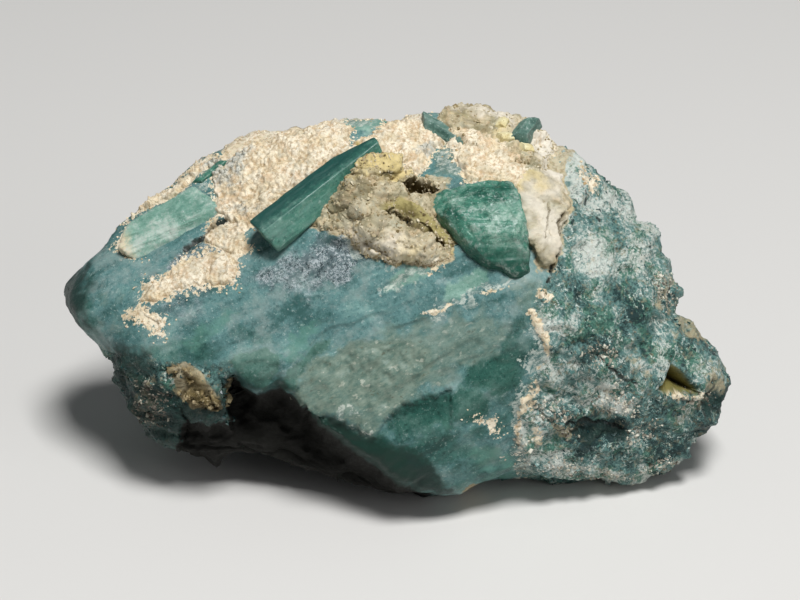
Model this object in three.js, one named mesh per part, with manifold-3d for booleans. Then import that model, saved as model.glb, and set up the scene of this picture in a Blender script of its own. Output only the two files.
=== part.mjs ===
// A hand specimen of grandidierite: one lump of blue-green crystal with cream crust and brown matrix,
// and crystals grown into it. Units are millimetres, +Z is up, and the stone rests on z = 0.
//
// The stone is worked out in the axes of its display face, which leans back from the front:
// s runs to the right, t runs up the face and w points straight out of it.
import * as THREE from "three";
import { mergeVertices } from "three/addons/utils/BufferGeometryUtils.js";
import { ConvexGeometry } from "three/addons/geometries/ConvexGeometry.js";
import Module from "manifold-3d";

// ---------------------------------------------------------------- driving dimensions

const FACE_LEAN = THREE.MathUtils.degToRad(32); // how far the display face leans back
const MIDDLE = new THREE.Vector3(0.2, -0.2, 18.6); // the stone's middle, over the centre of its footprint
const FRONT_DEPTH = 18; // how far the stone would bulge in front of its middle, before its facets
const BACK_DEPTH = 20; // the same, behind
const BULGE_POWER = 2.8; // 2 is an ellipsoid; more is boxier
const EDGE_POWER = 26; // how sharply one facet turns into the next
const GRID = 26; // cells along each edge of the ball's grid

// The stone's outline, seen square to the display face (s, t).
const OUTLINE = [
  [36, -10.5], [35.5, -7], [33.5, -4.5], [31.5, -2.5], [29.5, -1.5], [30, 0.5], [29, 4], [27, 8],
  [25.5, 8.5], [21.5, 13.5], [19.5, 15.5], [16, 18], [14.5, 19.5], [10.5, 20], [8, 21.5], [5, 20.5],
  [-1, 19.5], [-3, 20], [-8, 19], [-10.5, 18], [-16, 17.5], [-19, 16.5], [-24.5, 13], [-29, 10],
  [-32, 7.5], [-32.5, 6], [-36, 1.5], [-36, -0.5], [-35, -2.5], [-31, -6], [-29, -11.5], [-27, -14.5],
  [-25.5, -15.5], [-17, -16], [-12, -17], [-5.5, -19], [-2.5, -20.5], [2, -21], [6.5, -21], [9, -19.5],
  [13, -18], [17.5, -19], [24.5, -19.5], [30, -18], [33, -15], [35, -12],
];

// Facets of the display side: a direction (s, t, w) and the facet's distance from the middle.
const FRONT_FACETS = [
  { facing: [-0.08, -0.1, 0.99], distance: 12.4 }, // the broad blue-green cleavage face
  { facing: [0, 0.4, 0.92], distance: 13.9 }, // the brow above it
  { facing: [-0.32, 0.52, 0.79], distance: 15.6 }, // crusted slope, left
  { facing: [0, 0.68, 0.73], distance: 15.6 }, // crusted slope, middle
  { facing: [0.3, 0.58, 0.76], distance: 17 }, // crusted slope, right
  { facing: [0.5, 0.12, 0.86], distance: 18.7 }, // sugary right lobe
  { facing: [0.78, 0.35, 0.52], distance: 27 }, // side of the right lobe
  { facing: [0.25, -0.6, 0.76], distance: 18.9 }, // underside of the right lobe
  { facing: [0.26, -0.46, 0.84], distance: 16.9 }, // dark lower front
  { facing: [-0.26, -0.65, 0.79], distance: 18.4 }, // left foot
  { facing: [-0.6, -0.1, 0.79], distance: 25.3 }, // left tip
];

// Facets of the base and the back: a direction (right, back, up) and a distance from the middle.
const BACK_FACETS = [
  { facing: [0, 0, -1], distance: 19.1 }, // the base, before it is cut flat
  { facing: [0.05, 0.98, 0.1], distance: 17 },
  { facing: [-0.5, 0.8, 0.25], distance: 22.5 },
  { facing: [0.55, 0.8, -0.1], distance: 24.5 },
  { facing: [0.25, 0.72, 0.66], distance: 22.5 },
  { facing: [-0.25, 0.6, 0.75], distance: 21.5 },
  { facing: [-0.55, 0.4, -0.7], distance: 24 },
  { facing: [0.6, 0.35, -0.72], distance: 27.5 },
  { facing: [0, 0.75, -0.65], distance: 19.5 },
  { facing: [0.35, 0.92, -0.05], distance: 16.4 },
  { facing: [-0.3, 0.93, -0.15], distance: 16.8 },
  { facing: [0.75, 0.62, -0.1], distance: 26 },
  { facing: [0.02, 0.86, 0.5], distance: 19.6 },
  { facing: [0.1, 0.86, -0.5], distance: 17.2 },
];

// Swells and hollows of the display side: how far each rises, its centre and half lengths (s, t),
// its turn in degrees, how wide its rim is (0 sharp, 1 a dome) and how square its plan is.
const RELIEF = [
  { rise: 3.2, at: [-2.8, 13], half: [5.6, 4.6], turn: 8, rim: 0.9, square: 2 }, // top of the matrix heap
  { rise: 2.4, at: [-2.2, 7.8], half: [6.6, 4.6], turn: -12, rim: 0.8, square: 2 }, // its lower folds
  { rise: 1.6, at: [15, 8.6], half: [3, 6.5], turn: 10, rim: 0.5, square: 2 }, // cream mass by the block
  { rise: 1.3, at: [7.5, 19.8], half: [3.9, 2.7], turn: 0, rim: 0.8, square: 2 }, // tan peak
  { rise: 0.8, at: [-12, 15], half: [13, 4.6], turn: 22, rim: 0.6, square: 4 }, // cream crust band
  { rise: 0.5, at: [-20, 3.5], half: [7, 2.4], turn: 33, rim: 0.8, square: 4 }, // tongue of crust
  { rise: 0.7, at: [9.5, 16], half: [8, 3.4], turn: -8, rim: 0.5, square: 4 }, // crumbly crust, right
  { rise: 0.9, at: [-21, -9.3], half: [4.4, 2.2], turn: -32, rim: 0.5, square: 2 }, // brown chunk on the foot
  { rise: 1.6, at: [21.5, -2], half: [9, 10], turn: 20, rim: 0.95, square: 2 }, // swell of the right lobe
  { rise: 0.5, at: [19, 9.5], half: [3.5, 5], turn: 20, rim: 0.8, square: 2 }, // its shoulder
  { rise: -0.6, at: [23.5, 1.2], half: [2.4, 3], turn: -30, rim: 0.8, square: 2 }, // hollow beside it
  { rise: -1.3, at: [27, -3.6], half: [5, 1.7], turn: 40, rim: 0.95, square: 2 }, // crease above the knob
  { rise: 1, at: [31, -8.5], half: [5.5, 5.5], turn: 0, rim: 0.8, square: 2 }, // knob
  { rise: -0.5, at: [17.5, -9.5], half: [5, 2.5], turn: 0, rim: 0.8, square: 2 }, // hollows of the lobe's foot
  { rise: -0.8, at: [21.5, -14], half: [4.5, 2.2], turn: 0, rim: 0.8, square: 2 },
];
const RELIEF_FADE = [0.5, 4]; // the relief fades out between these heights w, so the outline stays as it is

// The broad face breaks off along this lip (s, t); below it the stone steps back to a shelf.
const LIP = [
  [-24.6, -16.5], [-23, -10.9], [-21.5, -11.8], [-18, -12.2], [-17.6, -7], [-16.6, -8.2], [-15.2, -9.2],
  [-14.2, -9.1], [-12.6, -8.2], [-11.2, -9.4], [-9.8, -11.5], [-8.2, -13.3], [-6.2, -14.7], [-2.6, -16.8],
  [0.5, -18.6], [4.3, -20.5],
];
const LIP_HEIGHT = 11; // the w of the lip, about
const SHELF_HEIGHT = 2; // the w of the shelf behind the lip
const ROOF_SLANT = 2.6; // how far down the face the roof of the step slants, from the lip to the shelf
const CLEAR_OF_STONE = 30; // a distance from the middle that is past all of the stone

// ---------------------------------------------------------------- the display face's axes

const RIGHT = new THREE.Vector3(1, 0, 0);
const UP_FACE = new THREE.Vector3(0, Math.sin(FACE_LEAN), Math.cos(FACE_LEAN));
const OUT = new THREE.Vector3(0, -Math.cos(FACE_LEAN), Math.sin(FACE_LEAN));
const FACE_AXES = new THREE.Matrix4().makeBasis(RIGHT, UP_FACE, OUT).setPosition(MIDDLE);

const { smoothstep, degToRad } = THREE.MathUtils;

// ---------------------------------------------------------------- the stone's body

// The outline's distance from the middle at an angle, along the straight run between its corners.
const outlineCorners = OUTLINE.map(([s, t]) => ({ angle: Math.atan2(t, s), reach: Math.hypot(s, t) })).sort(
  (a, b) => a.angle - b.angle,
);

function outlineReach(angle) {
  const count = outlineCorners.length;
  const next = outlineCorners.findIndex((corner) => corner.angle > angle);
  const b = outlineCorners[next < 0 ? 0 : next];
  const a = outlineCorners[((next < 0 ? 0 : next) + count - 1) % count];
  const turn = 2 * Math.PI;
  const share = ((angle - a.angle + turn) % turn) / ((b.angle - a.angle + turn) % turn);
  return THREE.MathUtils.lerp(a.reach, b.reach, share);
}

// The stone's reach from its middle in a direction: the outline's bulge, cut by every facet. The cuts
// are joined as a power sum, which rounds the edge between two facets.
function reach(direction) {
  const s = direction.dot(RIGHT);
  const t = direction.dot(UP_FACE);
  const w = direction.dot(OUT);
  const across = Math.hypot(s, t) / outlineReach(Math.atan2(t, s));
  const depth = Math.abs(w) / (w > 0 ? FRONT_DEPTH : BACK_DEPTH);
  const bulge = (across ** BULGE_POWER + depth ** BULGE_POWER) ** (1 / BULGE_POWER);
  const cut = ({ facing, distance }, [x, y, z]) => {
    const length = Math.hypot(...facing);
    const along = (facing[0] * x + facing[1] * y + facing[2] * z) / (length * distance);
    return Math.max(along, 0) ** EDGE_POWER;
  };
  const cuts = [
    ...FRONT_FACETS.map((facet) => cut(facet, [s, t, w])),
    ...BACK_FACETS.map((facet) => cut(facet, direction.toArray())),
  ];
  return cuts.reduce((sum, term) => sum + term, bulge ** EDGE_POWER) ** (-1 / EDGE_POWER);
}

// How much of a swell stands at (s, t): 1 inside, falling to 0 across its rim.
function swell({ at, half, turn, rim, square }, s, t) {
  const angle = degToRad(turn);
  const u = ((s - at[0]) * Math.cos(angle) + (t - at[1]) * Math.sin(angle)) / half[0];
  const v = ((t - at[1]) * Math.cos(angle) - (s - at[0]) * Math.sin(angle)) / half[1];
  const out = (Math.abs(u) ** square + Math.abs(v) ** square) ** (1 / square);
  return smoothstep(1 - out, 0, rim);
}

// A point of the stone's surface in a direction, in the display face's axes.
function facePoint(direction) {
  const length = reach(direction);
  const [s, t] = [direction.dot(RIGHT) * length, direction.dot(UP_FACE) * length];
  const w = direction.dot(OUT) * length;
  const relief = RELIEF.reduce((sum, form) => sum + form.rise * swell(form, s, t), 0);
  return new THREE.Vector3(s, t, w + relief * smoothstep(w, ...RELIEF_FADE));
}

// A box's grid, spread evenly in angle and blown out to the stone's surface.
function bodyGeometry() {
  const geometry = new THREE.BoxGeometry(2, 2, 2, GRID, GRID, GRID);
  const position = geometry.getAttribute("position");
  for (let i = 0; i < position.count; i++) {
    const onBox = new THREE.Vector3().fromBufferAttribute(position, i).toArray();
    const direction = new THREE.Vector3(...onBox.map((x) => Math.tan((x * Math.PI) / 4))).normalize();
    position.setXYZ(i, ...facePoint(direction).applyMatrix4(FACE_AXES));
  }
  return geometry;
}

// ---------------------------------------------------------------- crystals grown into the body

// Each crystal is a block cut by its faces. Its own axes run along it, across it and out of the stone:
// they are the display face's axes turned in the face, then pitched out of it and rolled about the
// crystal's length, all in degrees. A face is its direction in those axes and its distance from the
// crystal's middle, which lies at (s, t, w).
const CRYSTALS = {
  // long dark-green blade on the crust, its low left end standing free
  blade: {
    at: [-8.4, 11.3, 9.8], turn: 38.5, pitch: -18, roll: 0,
    faces: [
      [[0, 0.62, 0.78], 1.5], [[0, -0.45, 0.89], 1.4], [[0, -1, 0.1], 2.2], [[0, 1, -0.2], 2],
      [[0, 0, -1], 1.8], [[-0.97, -0.1, -0.25], 7.5], [[0.97, -0.2, 0.15], 7.9], [[0.2, 0.6, -0.5], 2.2],
    ],
  },
  // deep-green block at the right of the matrix, with a rounded brow
  block: {
    at: [8.6, 7.6, 12.2], turn: 0, pitch: 0, roll: 20,
    faces: [
      [[-0.27, 0.96, 0.1], 5], [[0.09, 1, 0.1], 5.2], [[0.79, 0.61, 0.1], 5.6], [[1, 0.02, 0.1], 4.65],
      [[0.97, 0.235, 0.1], 4.4], [[0.3, -0.95, 0.1], 5.8], [[-0.3, -0.95, 0.15], 3.9],
      [[-0.68, -0.73, 0.2], 2.95], [[-0.8, -0.6, 0.2], 3.1], [[-0.98, -0.2, 0.1], 4.9],
      [[-0.1, 0.45, 0.89], 2.5], [[0.05, 0.05, 1], 2.1], [[0.1, -0.5, 0.86], 2.7], [[-0.45, -0.35, 0.82], 2.6],
      [[-0.5, 0.25, 0.83], 3.2], [[0.6, -0.1, 0.8], 3.7], [[0, 0, -1], 3.5],
    ],
  },
  // pale-green blade lying along the left slope
  pale_blade: {
    at: [-24.6, 7.8, 4.6], turn: 22, pitch: 4, roll: 12,
    faces: [
      [[-0.15, 0.98, 0.1], 2.5], [[-0.7, 0.7, 0.1], 4.1], [[-0.9, -0.5, 0.2], 5.2], [[0, -1, 0.25], 2.2],
      [[0.85, 0.5, 0.1], 5], [[0.8, -0.6, 0.1], 5.3], [[0, 0.25, 0.97], 1], [[0.05, -0.35, 0.94], 1.25],
      [[0, 0, -1], 2.5],
    ],
  },
};
const CRYSTAL_BLOCK = 20; // the uncut block's size; every face cuts it

function crystalAxes({ at, turn, pitch, roll }) {
  const turned = new THREE.Matrix4()
    .makeRotationZ(degToRad(turn))
    .multiply(new THREE.Matrix4().makeRotationY(-degToRad(pitch)))
    .multiply(new THREE.Matrix4().makeRotationX(-degToRad(roll)));
  return FACE_AXES.clone().multiply(turned.setPosition(...at));
}

function crystalSolid(crystal) {
  const axes = crystalAxes(crystal);
  const block = new THREE.BoxGeometry(CRYSTAL_BLOCK, CRYSTAL_BLOCK, CRYSTAL_BLOCK).applyMatrix4(axes);
  return crystal.faces.reduce((solid, [facing, distance]) => {
    const plane = new THREE.Plane(new THREE.Vector3(...facing).normalize(), -distance).applyMatrix4(axes);
    return solid.trimByPlane(plane.normal.clone().negate().toArray(), plane.constant);
  }, toSolid(block));
}

// The open pit in the knob: the hull of its corners, taken out of the body.
const PIT = [
  [27.6, -10.6, 14], [31.6, -9.6, 14], [28.3, -6.6, 14], [28.8, -10, 4.4], [30.2, -9.4, 4.4], [28.8, -8, 4.4],
];

// The space below the lip, which is taken out of the body. Its roof slants down the face to the shelf.
function stepGeometry() {
  const below = [[LIP.at(-1)[0], -CLEAR_OF_STONE], [LIP[0][0], -CLEAR_OF_STONE]];
  const shape = new THREE.Shape([...LIP, ...below].map(([s, t]) => new THREE.Vector2(s, t)));
  const geometry = new THREE.ExtrudeGeometry(shape, { depth: CLEAR_OF_STONE, bevelEnabled: false });
  const slant = new THREE.Matrix4().makeShear(0, 0, 0, 0, 0, ROOF_SLANT / (LIP_HEIGHT - SHELF_HEIGHT));
  return geometry.applyMatrix4(slant).translate(0, -ROOF_SLANT, SHELF_HEIGHT).applyMatrix4(FACE_AXES);
}

const hull = (corners) =>
  new ConvexGeometry(corners.map((corner) => new THREE.Vector3(...corner).applyMatrix4(FACE_AXES)));

// ---------------------------------------------------------------- one solid

const wasm = await Module();
wasm.setup();

function toSolid(geometry) {
  const bare = new THREE.BufferGeometry().setAttribute("position", geometry.getAttribute("position"));
  bare.setIndex(geometry.index);
  const merged = mergeVertices(bare, 1e-3);
  const vertProperties = merged.getAttribute("position").array;
  return new wasm.Manifold(
    new wasm.Mesh({ numProp: 3, vertProperties, triVerts: new Uint32Array(merged.index.array) }),
  );
}

function toGeometry(solid) {
  const { vertProperties, triVerts } = solid.getMesh();
  const geometry = new THREE.BufferGeometry();
  geometry.setAttribute("position", new THREE.BufferAttribute(vertProperties, 3));
  geometry.setIndex(new THREE.BufferAttribute(triVerts, 1));
  geometry.computeVertexNormals();
  return geometry;
}

// Everything below z = 0, taken off so that the stone rests on a flat base.
const GROUND_SIZE = 200;
const ground = new THREE.BoxGeometry(GROUND_SIZE, GROUND_SIZE, GROUND_SIZE).translate(0, 0, -GROUND_SIZE / 2);

const body = toSolid(bodyGeometry()).subtract(toSolid(stepGeometry())).subtract(toSolid(hull(PIT)));
const grown = Object.values(CRYSTALS).reduce((stone, crystal) => stone.add(crystalSolid(crystal)), body);
const specimen = new THREE.Mesh(
  toGeometry(grown.subtract(toSolid(ground))),
  new THREE.MeshStandardMaterial({ color: 0x35605c, roughness: 0.45, metalness: 0 }),
);
specimen.name = "grandidierite_specimen";

const part = new THREE.Group();
part.add(specimen);

export default part;
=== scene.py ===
# %% [markdown]
# # A grandidierite hand specimen
# Grandidierite is a rare blue-green silicate. This piece is one lump, about 7 cm long: a broad cleavage
# face of streaky blue-green crystal, a sugary lobe on the right, a cream crust with brown matrix across
# the top, and a few larger crystals grown into it. Everything here is a surface worked out as arrays of
# points, so that each form has a formula that can be read and changed.

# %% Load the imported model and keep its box
import itertools
import math

import bpy
import numpy as np
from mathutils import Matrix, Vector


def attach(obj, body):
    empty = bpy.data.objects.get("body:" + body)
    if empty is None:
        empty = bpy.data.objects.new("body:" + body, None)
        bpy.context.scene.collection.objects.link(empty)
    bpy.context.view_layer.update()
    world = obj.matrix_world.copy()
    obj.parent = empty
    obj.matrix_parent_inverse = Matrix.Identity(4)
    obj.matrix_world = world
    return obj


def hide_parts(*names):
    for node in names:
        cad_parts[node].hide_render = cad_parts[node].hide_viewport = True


MM = 0.001
STONE_NODE = "grandidierite_specimen"
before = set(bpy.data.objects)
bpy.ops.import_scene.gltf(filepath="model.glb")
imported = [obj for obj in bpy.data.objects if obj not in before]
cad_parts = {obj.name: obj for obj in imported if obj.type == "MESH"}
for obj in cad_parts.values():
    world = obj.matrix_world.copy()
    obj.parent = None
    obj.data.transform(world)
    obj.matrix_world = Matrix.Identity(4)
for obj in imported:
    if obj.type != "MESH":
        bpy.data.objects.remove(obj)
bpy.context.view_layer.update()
print("nodes of the packed model:", list(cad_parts))

# %% [markdown]
# ## The axes of the display face
# The broad face leans back, so its forms are easiest to place in its own axes: s runs to the right, t
# runs up the face and w points straight out of it. All shapes below are made in these axes in
# millimetres, and one function turns them into the room's metres at the very end.

# %% The face's axes
FACE_LEAN = math.radians(32)
MIDDLE = np.array([0.2, -0.2, 18.6])
FACE_AXES = np.array(
    [
        [1, 0, 0],
        [0, math.sin(FACE_LEAN), math.cos(FACE_LEAN)],
        [0, -math.cos(FACE_LEAN), math.sin(FACE_LEAN)],
    ]
)


def to_room(points):
    """Face axes in mm to room axes in metres: s, t and w times their directions, added to the middle."""
    return (MIDDLE + points @ FACE_AXES) * MM


def unit(vectors):
    """Each vector divided by its own length."""
    return vectors / np.linalg.norm(vectors, axis=-1, keepdims=True)


def ease(x, start, end):
    """0 below start, 1 above end, and between them 3x^2 - 2x^3, which has no kink at either end."""
    x = np.clip((x - start) / (end - start), 0, 1)
    return x * x * (3 - 2 * x)


print("the face looks along", np.round(FACE_AXES[2], 2))

# %% [markdown]
# ## Roughness of natural kinds
# Stone is rough at every size. Two numpy recipes give most of it. A cloud adds up smooth random ripples,
# each half the size and half the height of the last. Grains divide space by the nearest of many random
# seeds, as crystals that grow until they meet do. Both take points and give one number for each, with no
# loop over points, and the same seed always gives the same stone.


# %% Ripples and clouds
def random_at(cells, seed):
    """Three steady random numbers from 0 to 1 at each whole-number place: products with large odd
    numbers, stirred by shifts and cut to 32 bits."""
    x, y, z = (cells[..., i].astype(np.int64) for i in range(3))
    base = x * 374761393 + y * 668265263 + z * 2147483647 + seed * 1274126177
    stirred = []
    for turn in range(3):
        h = (base + turn * 40503551) & 0xFFFFFFFF
        h = ((h ^ (h >> 15)) * 2246822519) & 0xFFFFFFFF
        h = ((h ^ (h >> 13)) * 3266489917) & 0xFFFFFFFF
        stirred.append((h ^ (h >> 16)) / 0xFFFFFFFF)
    return np.stack(stirred, -1)


def ripple(points, size, seed):
    """Smooth random ripples from about -1 to 1: each corner of a cube of space has its own slope, and
    the eight slopes are blended with the curve 6x^5 - 15x^4 + 10x^3."""
    scaled = points / size
    cell = np.floor(scaled)
    inside = scaled - cell
    blend = inside**3 * (inside * (inside * 6 - 15) + 10)
    total = np.zeros(points.shape[:-1])
    for corner in itertools.product((0, 1), repeat=3):
        slope = random_at(cell + corner, seed) * 2 - 1
        weight = np.where(corner, blend, 1 - blend).prod(-1)
        total += weight * (slope * (inside - corner)).sum(-1)
    return total * 1.5


def cloud(points, size, seed, layers=4):
    """Ripples of size, size/2, size/4 and so on, each half as high as the one before."""
    return sum(ripple(points, size / 2**k, seed + k) / 2**k for k in range(layers))


print("a cloud at 0, 1 and 2 mm:", np.round(cloud(np.arange(3.0)[:, None] * np.ones(3), 2, 1), 2))


# %% Grains, broken stone and crumbs
def grains(points, size, seed):
    """One random seed per cube of space: for each point its nearest and its second nearest seed. Gives
    how far inside its grain the point is (0 at the border), three random numbers of both grains, and
    the ways to both seeds."""
    scaled = points / size
    cell = np.floor(scaled)
    distance = np.full((2, *points.shape[:-1]), 9.0)
    owner, to_seed = np.zeros((2, *points.shape)), np.zeros((2, *points.shape))
    for step in itertools.product((-1, 0, 1), repeat=3):
        place = cell + step
        away = place + random_at(place, seed) - scaled
        length = np.linalg.norm(away, axis=-1)
        first = length < distance[0]
        second = (length < distance[1]) & ~first
        for kept, new in ((distance, length), (owner, place), (to_seed, away)):
            kept[1][first] = kept[0][first]
            kept[0][first] = new[first]
            kept[1][second] = new[second]
    return distance[1] - distance[0], random_at(owner, seed + 77), to_seed


def broken(points, size, seed):
    """A broken surface: every grain is cut by its own random plane and stands at its own level. Near a
    border the two grains' heights are blended, half and half on the border itself."""
    inset, chance, to_seed = grains(points, size, seed)
    height = ((chance * 2 - 1) * to_seed).sum(-1) + 0.5 * (chance[..., 0] - 0.5)
    share = 0.5 + 0.5 * ease(inset, 0, 0.25)
    return share * height[0] + (1 - share) * height[1]


def bumps(points, size, seed):
    """Round crumbs packed side by side: 1 - d^2, with d the distance to the nearest seed, each crumb
    with a height of its own."""
    _, chance, to_seed = grains(points, size, seed)
    return (1 - (to_seed[0] ** 2).sum(-1)) * (0.5 + chance[0, ..., 0])


print("crumbs at 0, 1 and 2 mm:", np.round(bumps(np.arange(3.0)[:, None] * np.ones(3), 2, 1), 2))

# %% [markdown]
# ## Outlines on the face
# Crust, matrix and plates have ragged outlines. Each is a short list of corners in face millimetres, and
# one function tells how far inside it a point is. A vein or crack is an open line, and the same sum of
# distances gives how far away it is. Those distances drive both the relief and the colours, so a colour
# never slides off the form that it belongs to.


# %% Distances to outlines and lines
def from_line(s, t, corners):
    """The distance in mm to the nearest stretch of an open line: each point is dropped onto each
    stretch, kept between its ends, and the shortest drop wins."""
    corners = np.asarray(corners, float)
    start, run = corners[:-1], np.diff(corners, axis=0)
    to_point = np.stack([s, t], -1)[..., None, :] - start
    share = np.clip((to_point * run).sum(-1) / (run * run).sum(-1), 0, 1)
    return np.linalg.norm(to_point - share[..., None] * run, axis=-1).min(-1)


def inside_of(s, t, corners):
    """How far inside a closed outline each point is, in mm, and negative outside. A point is inside if
    a line from it to the right crosses the sides an odd number of times."""
    corners = np.asarray(corners, float)
    ends = np.roll(corners, -1, axis=0)
    crossings = np.zeros(s.shape, int)
    for (s0, t0), (s1, t1) in zip(corners, ends):
        spans = (t0 > t) != (t1 > t)
        height = t1 - t0 if t1 != t0 else 1.0
        crossings += spans & (s < s0 + (t - t0) * (s1 - s0) / height)
    distance = from_line(s, t, np.vstack([corners, corners[:1]]))
    return np.where(crossings % 2 == 1, distance, -distance)


def oval(s, t, at, half, turn=0.0):
    """1 at the middle of an oval, 0 on its edge and negative outside."""
    angle = math.radians(turn)
    u = ((s - at[0]) * math.cos(angle) + (t - at[1]) * math.sin(angle)) / half[0]
    v = ((t - at[1]) * math.cos(angle) - (s - at[0]) * math.sin(angle)) / half[1]
    return 1 - np.hypot(u, v)


print("a point 3 mm from a line:", from_line(np.array([1.0]), np.array([3.0]), [(0, 0), (2, 0)]))

# %% [markdown]
# ## The stone's body
# The lump is worked out from its middle: in every direction it reaches as far as its outline and its
# facets let it. The facets are joined by a power sum, and the higher the power, the sharper the edge
# between two facets. A sculpted mesh would also do, but this one can be sampled as finely as needed.

# %% The body's outline and facets
FRONT_DEPTH, BACK_DEPTH = 18.0, 20.0
BULGE_POWER = 2.8
EDGE_POWER = 26
OUTLINE = np.array(
    [
        (36, -10.5), (35.5, -7), (33.5, -4.5), (31.5, -2.5), (29.5, -1.5), (30, 0.5), (29, 4), (27, 8),
        (25.5, 8.5), (21.5, 13.5), (19.5, 15.5), (16, 18), (14.5, 19.5), (10.5, 20), (8, 21.5), (5, 20.5),
        (-1, 19.5), (-3, 20), (-8, 19), (-10.5, 18), (-16, 17.5), (-19, 16.5), (-24.5, 13), (-29, 10),
        (-32, 7.5), (-32.5, 6), (-36, 1.5), (-36, -0.5), (-35, -2.5), (-31, -6), (-29, -11.5),
        (-27, -14.5), (-25.5, -15.5), (-17, -16), (-12, -17), (-5.5, -19), (-2.5, -20.5), (2, -21),
        (6.5, -21), (9, -19.5), (13, -18), (17.5, -19), (24.5, -19.5), (30, -18), (33, -15), (35, -12),
    ]
)  # fmt: skip
# Each facet has the direction that it looks in and its distance from the middle in mm. Those in front
# are given in the face's axes, those behind in the room's.
FRONT_FACETS = [
    ((-0.08, -0.10, 0.99), 12.4),  # the broad cleavage face
    ((0.00, 0.40, 0.92), 13.9),  # the brow above it
    ((-0.32, 0.52, 0.79), 15.6),  # crusted slope, left
    ((0.00, 0.68, 0.73), 15.6),  # crusted slope, middle
    ((0.30, 0.58, 0.76), 17.0),  # crusted slope, right
    ((0.50, 0.12, 0.86), 18.7),  # sugary right lobe
    ((0.78, 0.35, 0.52), 27.0),  # side of the lobe
    ((0.25, -0.60, 0.76), 18.9),  # underside of the lobe
    ((0.26, -0.46, 0.84), 16.9),  # dark lower front
    ((-0.26, -0.65, 0.79), 18.4),  # left foot
    ((-0.60, -0.10, 0.79), 25.3),  # left tip
]
BACK_FACETS = [
    ((0.00, 0.00, -1.00), 19.1),  # the base, before it is cut flat
    ((0.05, 0.98, 0.10), 17.0),  # the back, and its worn corners after it
    ((-0.50, 0.80, 0.25), 22.5),
    ((0.55, 0.80, -0.10), 24.5),
    ((0.25, 0.72, 0.66), 22.5),
    ((-0.25, 0.60, 0.75), 21.5),
    ((-0.55, 0.40, -0.70), 24.0),
    ((0.60, 0.35, -0.72), 27.5),
    ((0.00, 0.75, -0.65), 19.5),
    ((0.35, 0.92, -0.05), 16.4),
    ((-0.30, 0.93, -0.15), 16.8),
    ((0.75, 0.62, -0.10), 26.0),
    ((0.02, 0.86, 0.50), 19.6),
    ((0.10, 0.86, -0.50), 17.2),
]


def outline_reach(angle):
    """The outline's distance from the middle at an angle, straight between the angles of its corners."""
    corner_angle = np.arctan2(OUTLINE[:, 1], OUTLINE[:, 0])
    order = np.argsort(corner_angle)
    distance = np.hypot(OUTLINE[:, 0], OUTLINE[:, 1])
    return np.interp(angle, corner_angle[order], distance[order], period=2 * math.pi)


def body_reach(direction):
    """How far the body reaches in each direction: the p-th root of the sum of p-th powers of every
    limit's closeness (its share along the direction over its distance), turned upside down."""
    s, t, w = (direction[..., i] for i in range(3))
    across = np.hypot(s, t) / outline_reach(np.arctan2(t, s))
    depth = np.abs(w) / np.where(w > 0, FRONT_DEPTH, BACK_DEPTH)
    total = ((across**BULGE_POWER + depth**BULGE_POWER) ** (1 / BULGE_POWER)) ** EDGE_POWER
    in_room = direction @ FACE_AXES
    for facing, distance in FRONT_FACETS:
        total += np.clip(direction @ unit(np.array(facing)) / distance, 0, None) ** EDGE_POWER
    for facing, distance in BACK_FACETS:
        total += np.clip(in_room @ unit(np.array(facing)) / distance, 0, None) ** EDGE_POWER
    return total ** (-1 / EDGE_POWER)


print("the broad face stands", round(float(body_reach(np.array([0.0, 0, 1]))), 1), "mm above the middle")

# %% [markdown]
# ## A ball without poles
# A globe's grid bunches up at its poles. A box's six grids, blown out to a ball, don't, and the sides
# share their edge points, so the skin is closed. Counts differ along the three axes because the stone is
# longer than it is deep, and the ball is pushed towards the display face, which then gets finer cells.


# %% The ball's grid
def ball_grid(cells, half=(1, 1, 1), push=0.0):
    """Directions and quads of a box's skin blown out to a ball. A box place x becomes tan(45 deg x), the
    point is scaled to length 1 and by half, and push moves it along w before it is scaled to 1 again."""
    places, quads, count = [], [], 0
    for axis, end in itertools.product(range(3), (0, 1)):
        a, b = (axis + 1) % 3, (axis + 2) % 3
        i, j = np.meshgrid(np.arange(cells[a] + 1), np.arange(cells[b] + 1), indexing="ij")
        place = np.zeros(i.shape + (3,), int)
        place[..., a], place[..., b], place[..., axis] = i, j, end * cells[axis]
        index = np.arange(i.size).reshape(i.shape) + count
        ring = [index[:-1, :-1], index[1:, :-1], index[1:, 1:], index[:-1, 1:]]
        quads.append(np.stack(ring if end else ring[::-1], -1).reshape(-1, 4))
        places.append(place.reshape(-1, 3))
        count += i.size
    places = np.concatenate(places)
    kept, where = np.unique(places, axis=0, return_inverse=True)
    on_ball = unit(np.tan((2 * kept / np.array(cells) - 1) * math.pi / 4)) * np.array(half)
    on_ball[:, 2] += push
    return unit(on_ball), where.reshape(-1)[np.concatenate(quads)]


print("the plainest ball has", len(ball_grid((1, 1, 1))[0]), "points")


# %% Normals, and the stone's smooth body
def normals_of(points, quads):
    """Each point's outward direction: the cross products of the quads' diagonals, added up."""
    corner = points[quads]
    facing = np.cross(corner[:, 2] - corner[:, 0], corner[:, 3] - corner[:, 1])
    total = np.zeros_like(points)
    for k in range(4):
        for axis in range(3):
            total[:, axis] += np.bincount(quads[:, k], facing[:, axis], len(points))
    return unit(total)


STONE_CELLS = (204, 118, 72)
STONE_HALF = (36, 20, 18)
STONE_PUSH = 8.0
direction, stone_quads = ball_grid(STONE_CELLS, STONE_HALF, STONE_PUSH)
smooth_body = direction * body_reach(direction)[:, None]
print("stone grid:", len(smooth_body), "points,", 2 * len(stone_quads), "triangles")

# %% [markdown]
# ## Where each mineral lies
# These outlines say where the crust, matrix, plates and colour zones lie on the face. Before they are
# measured, every point is shifted a little by a cloud, which turns straight sides into ragged ones.

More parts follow.
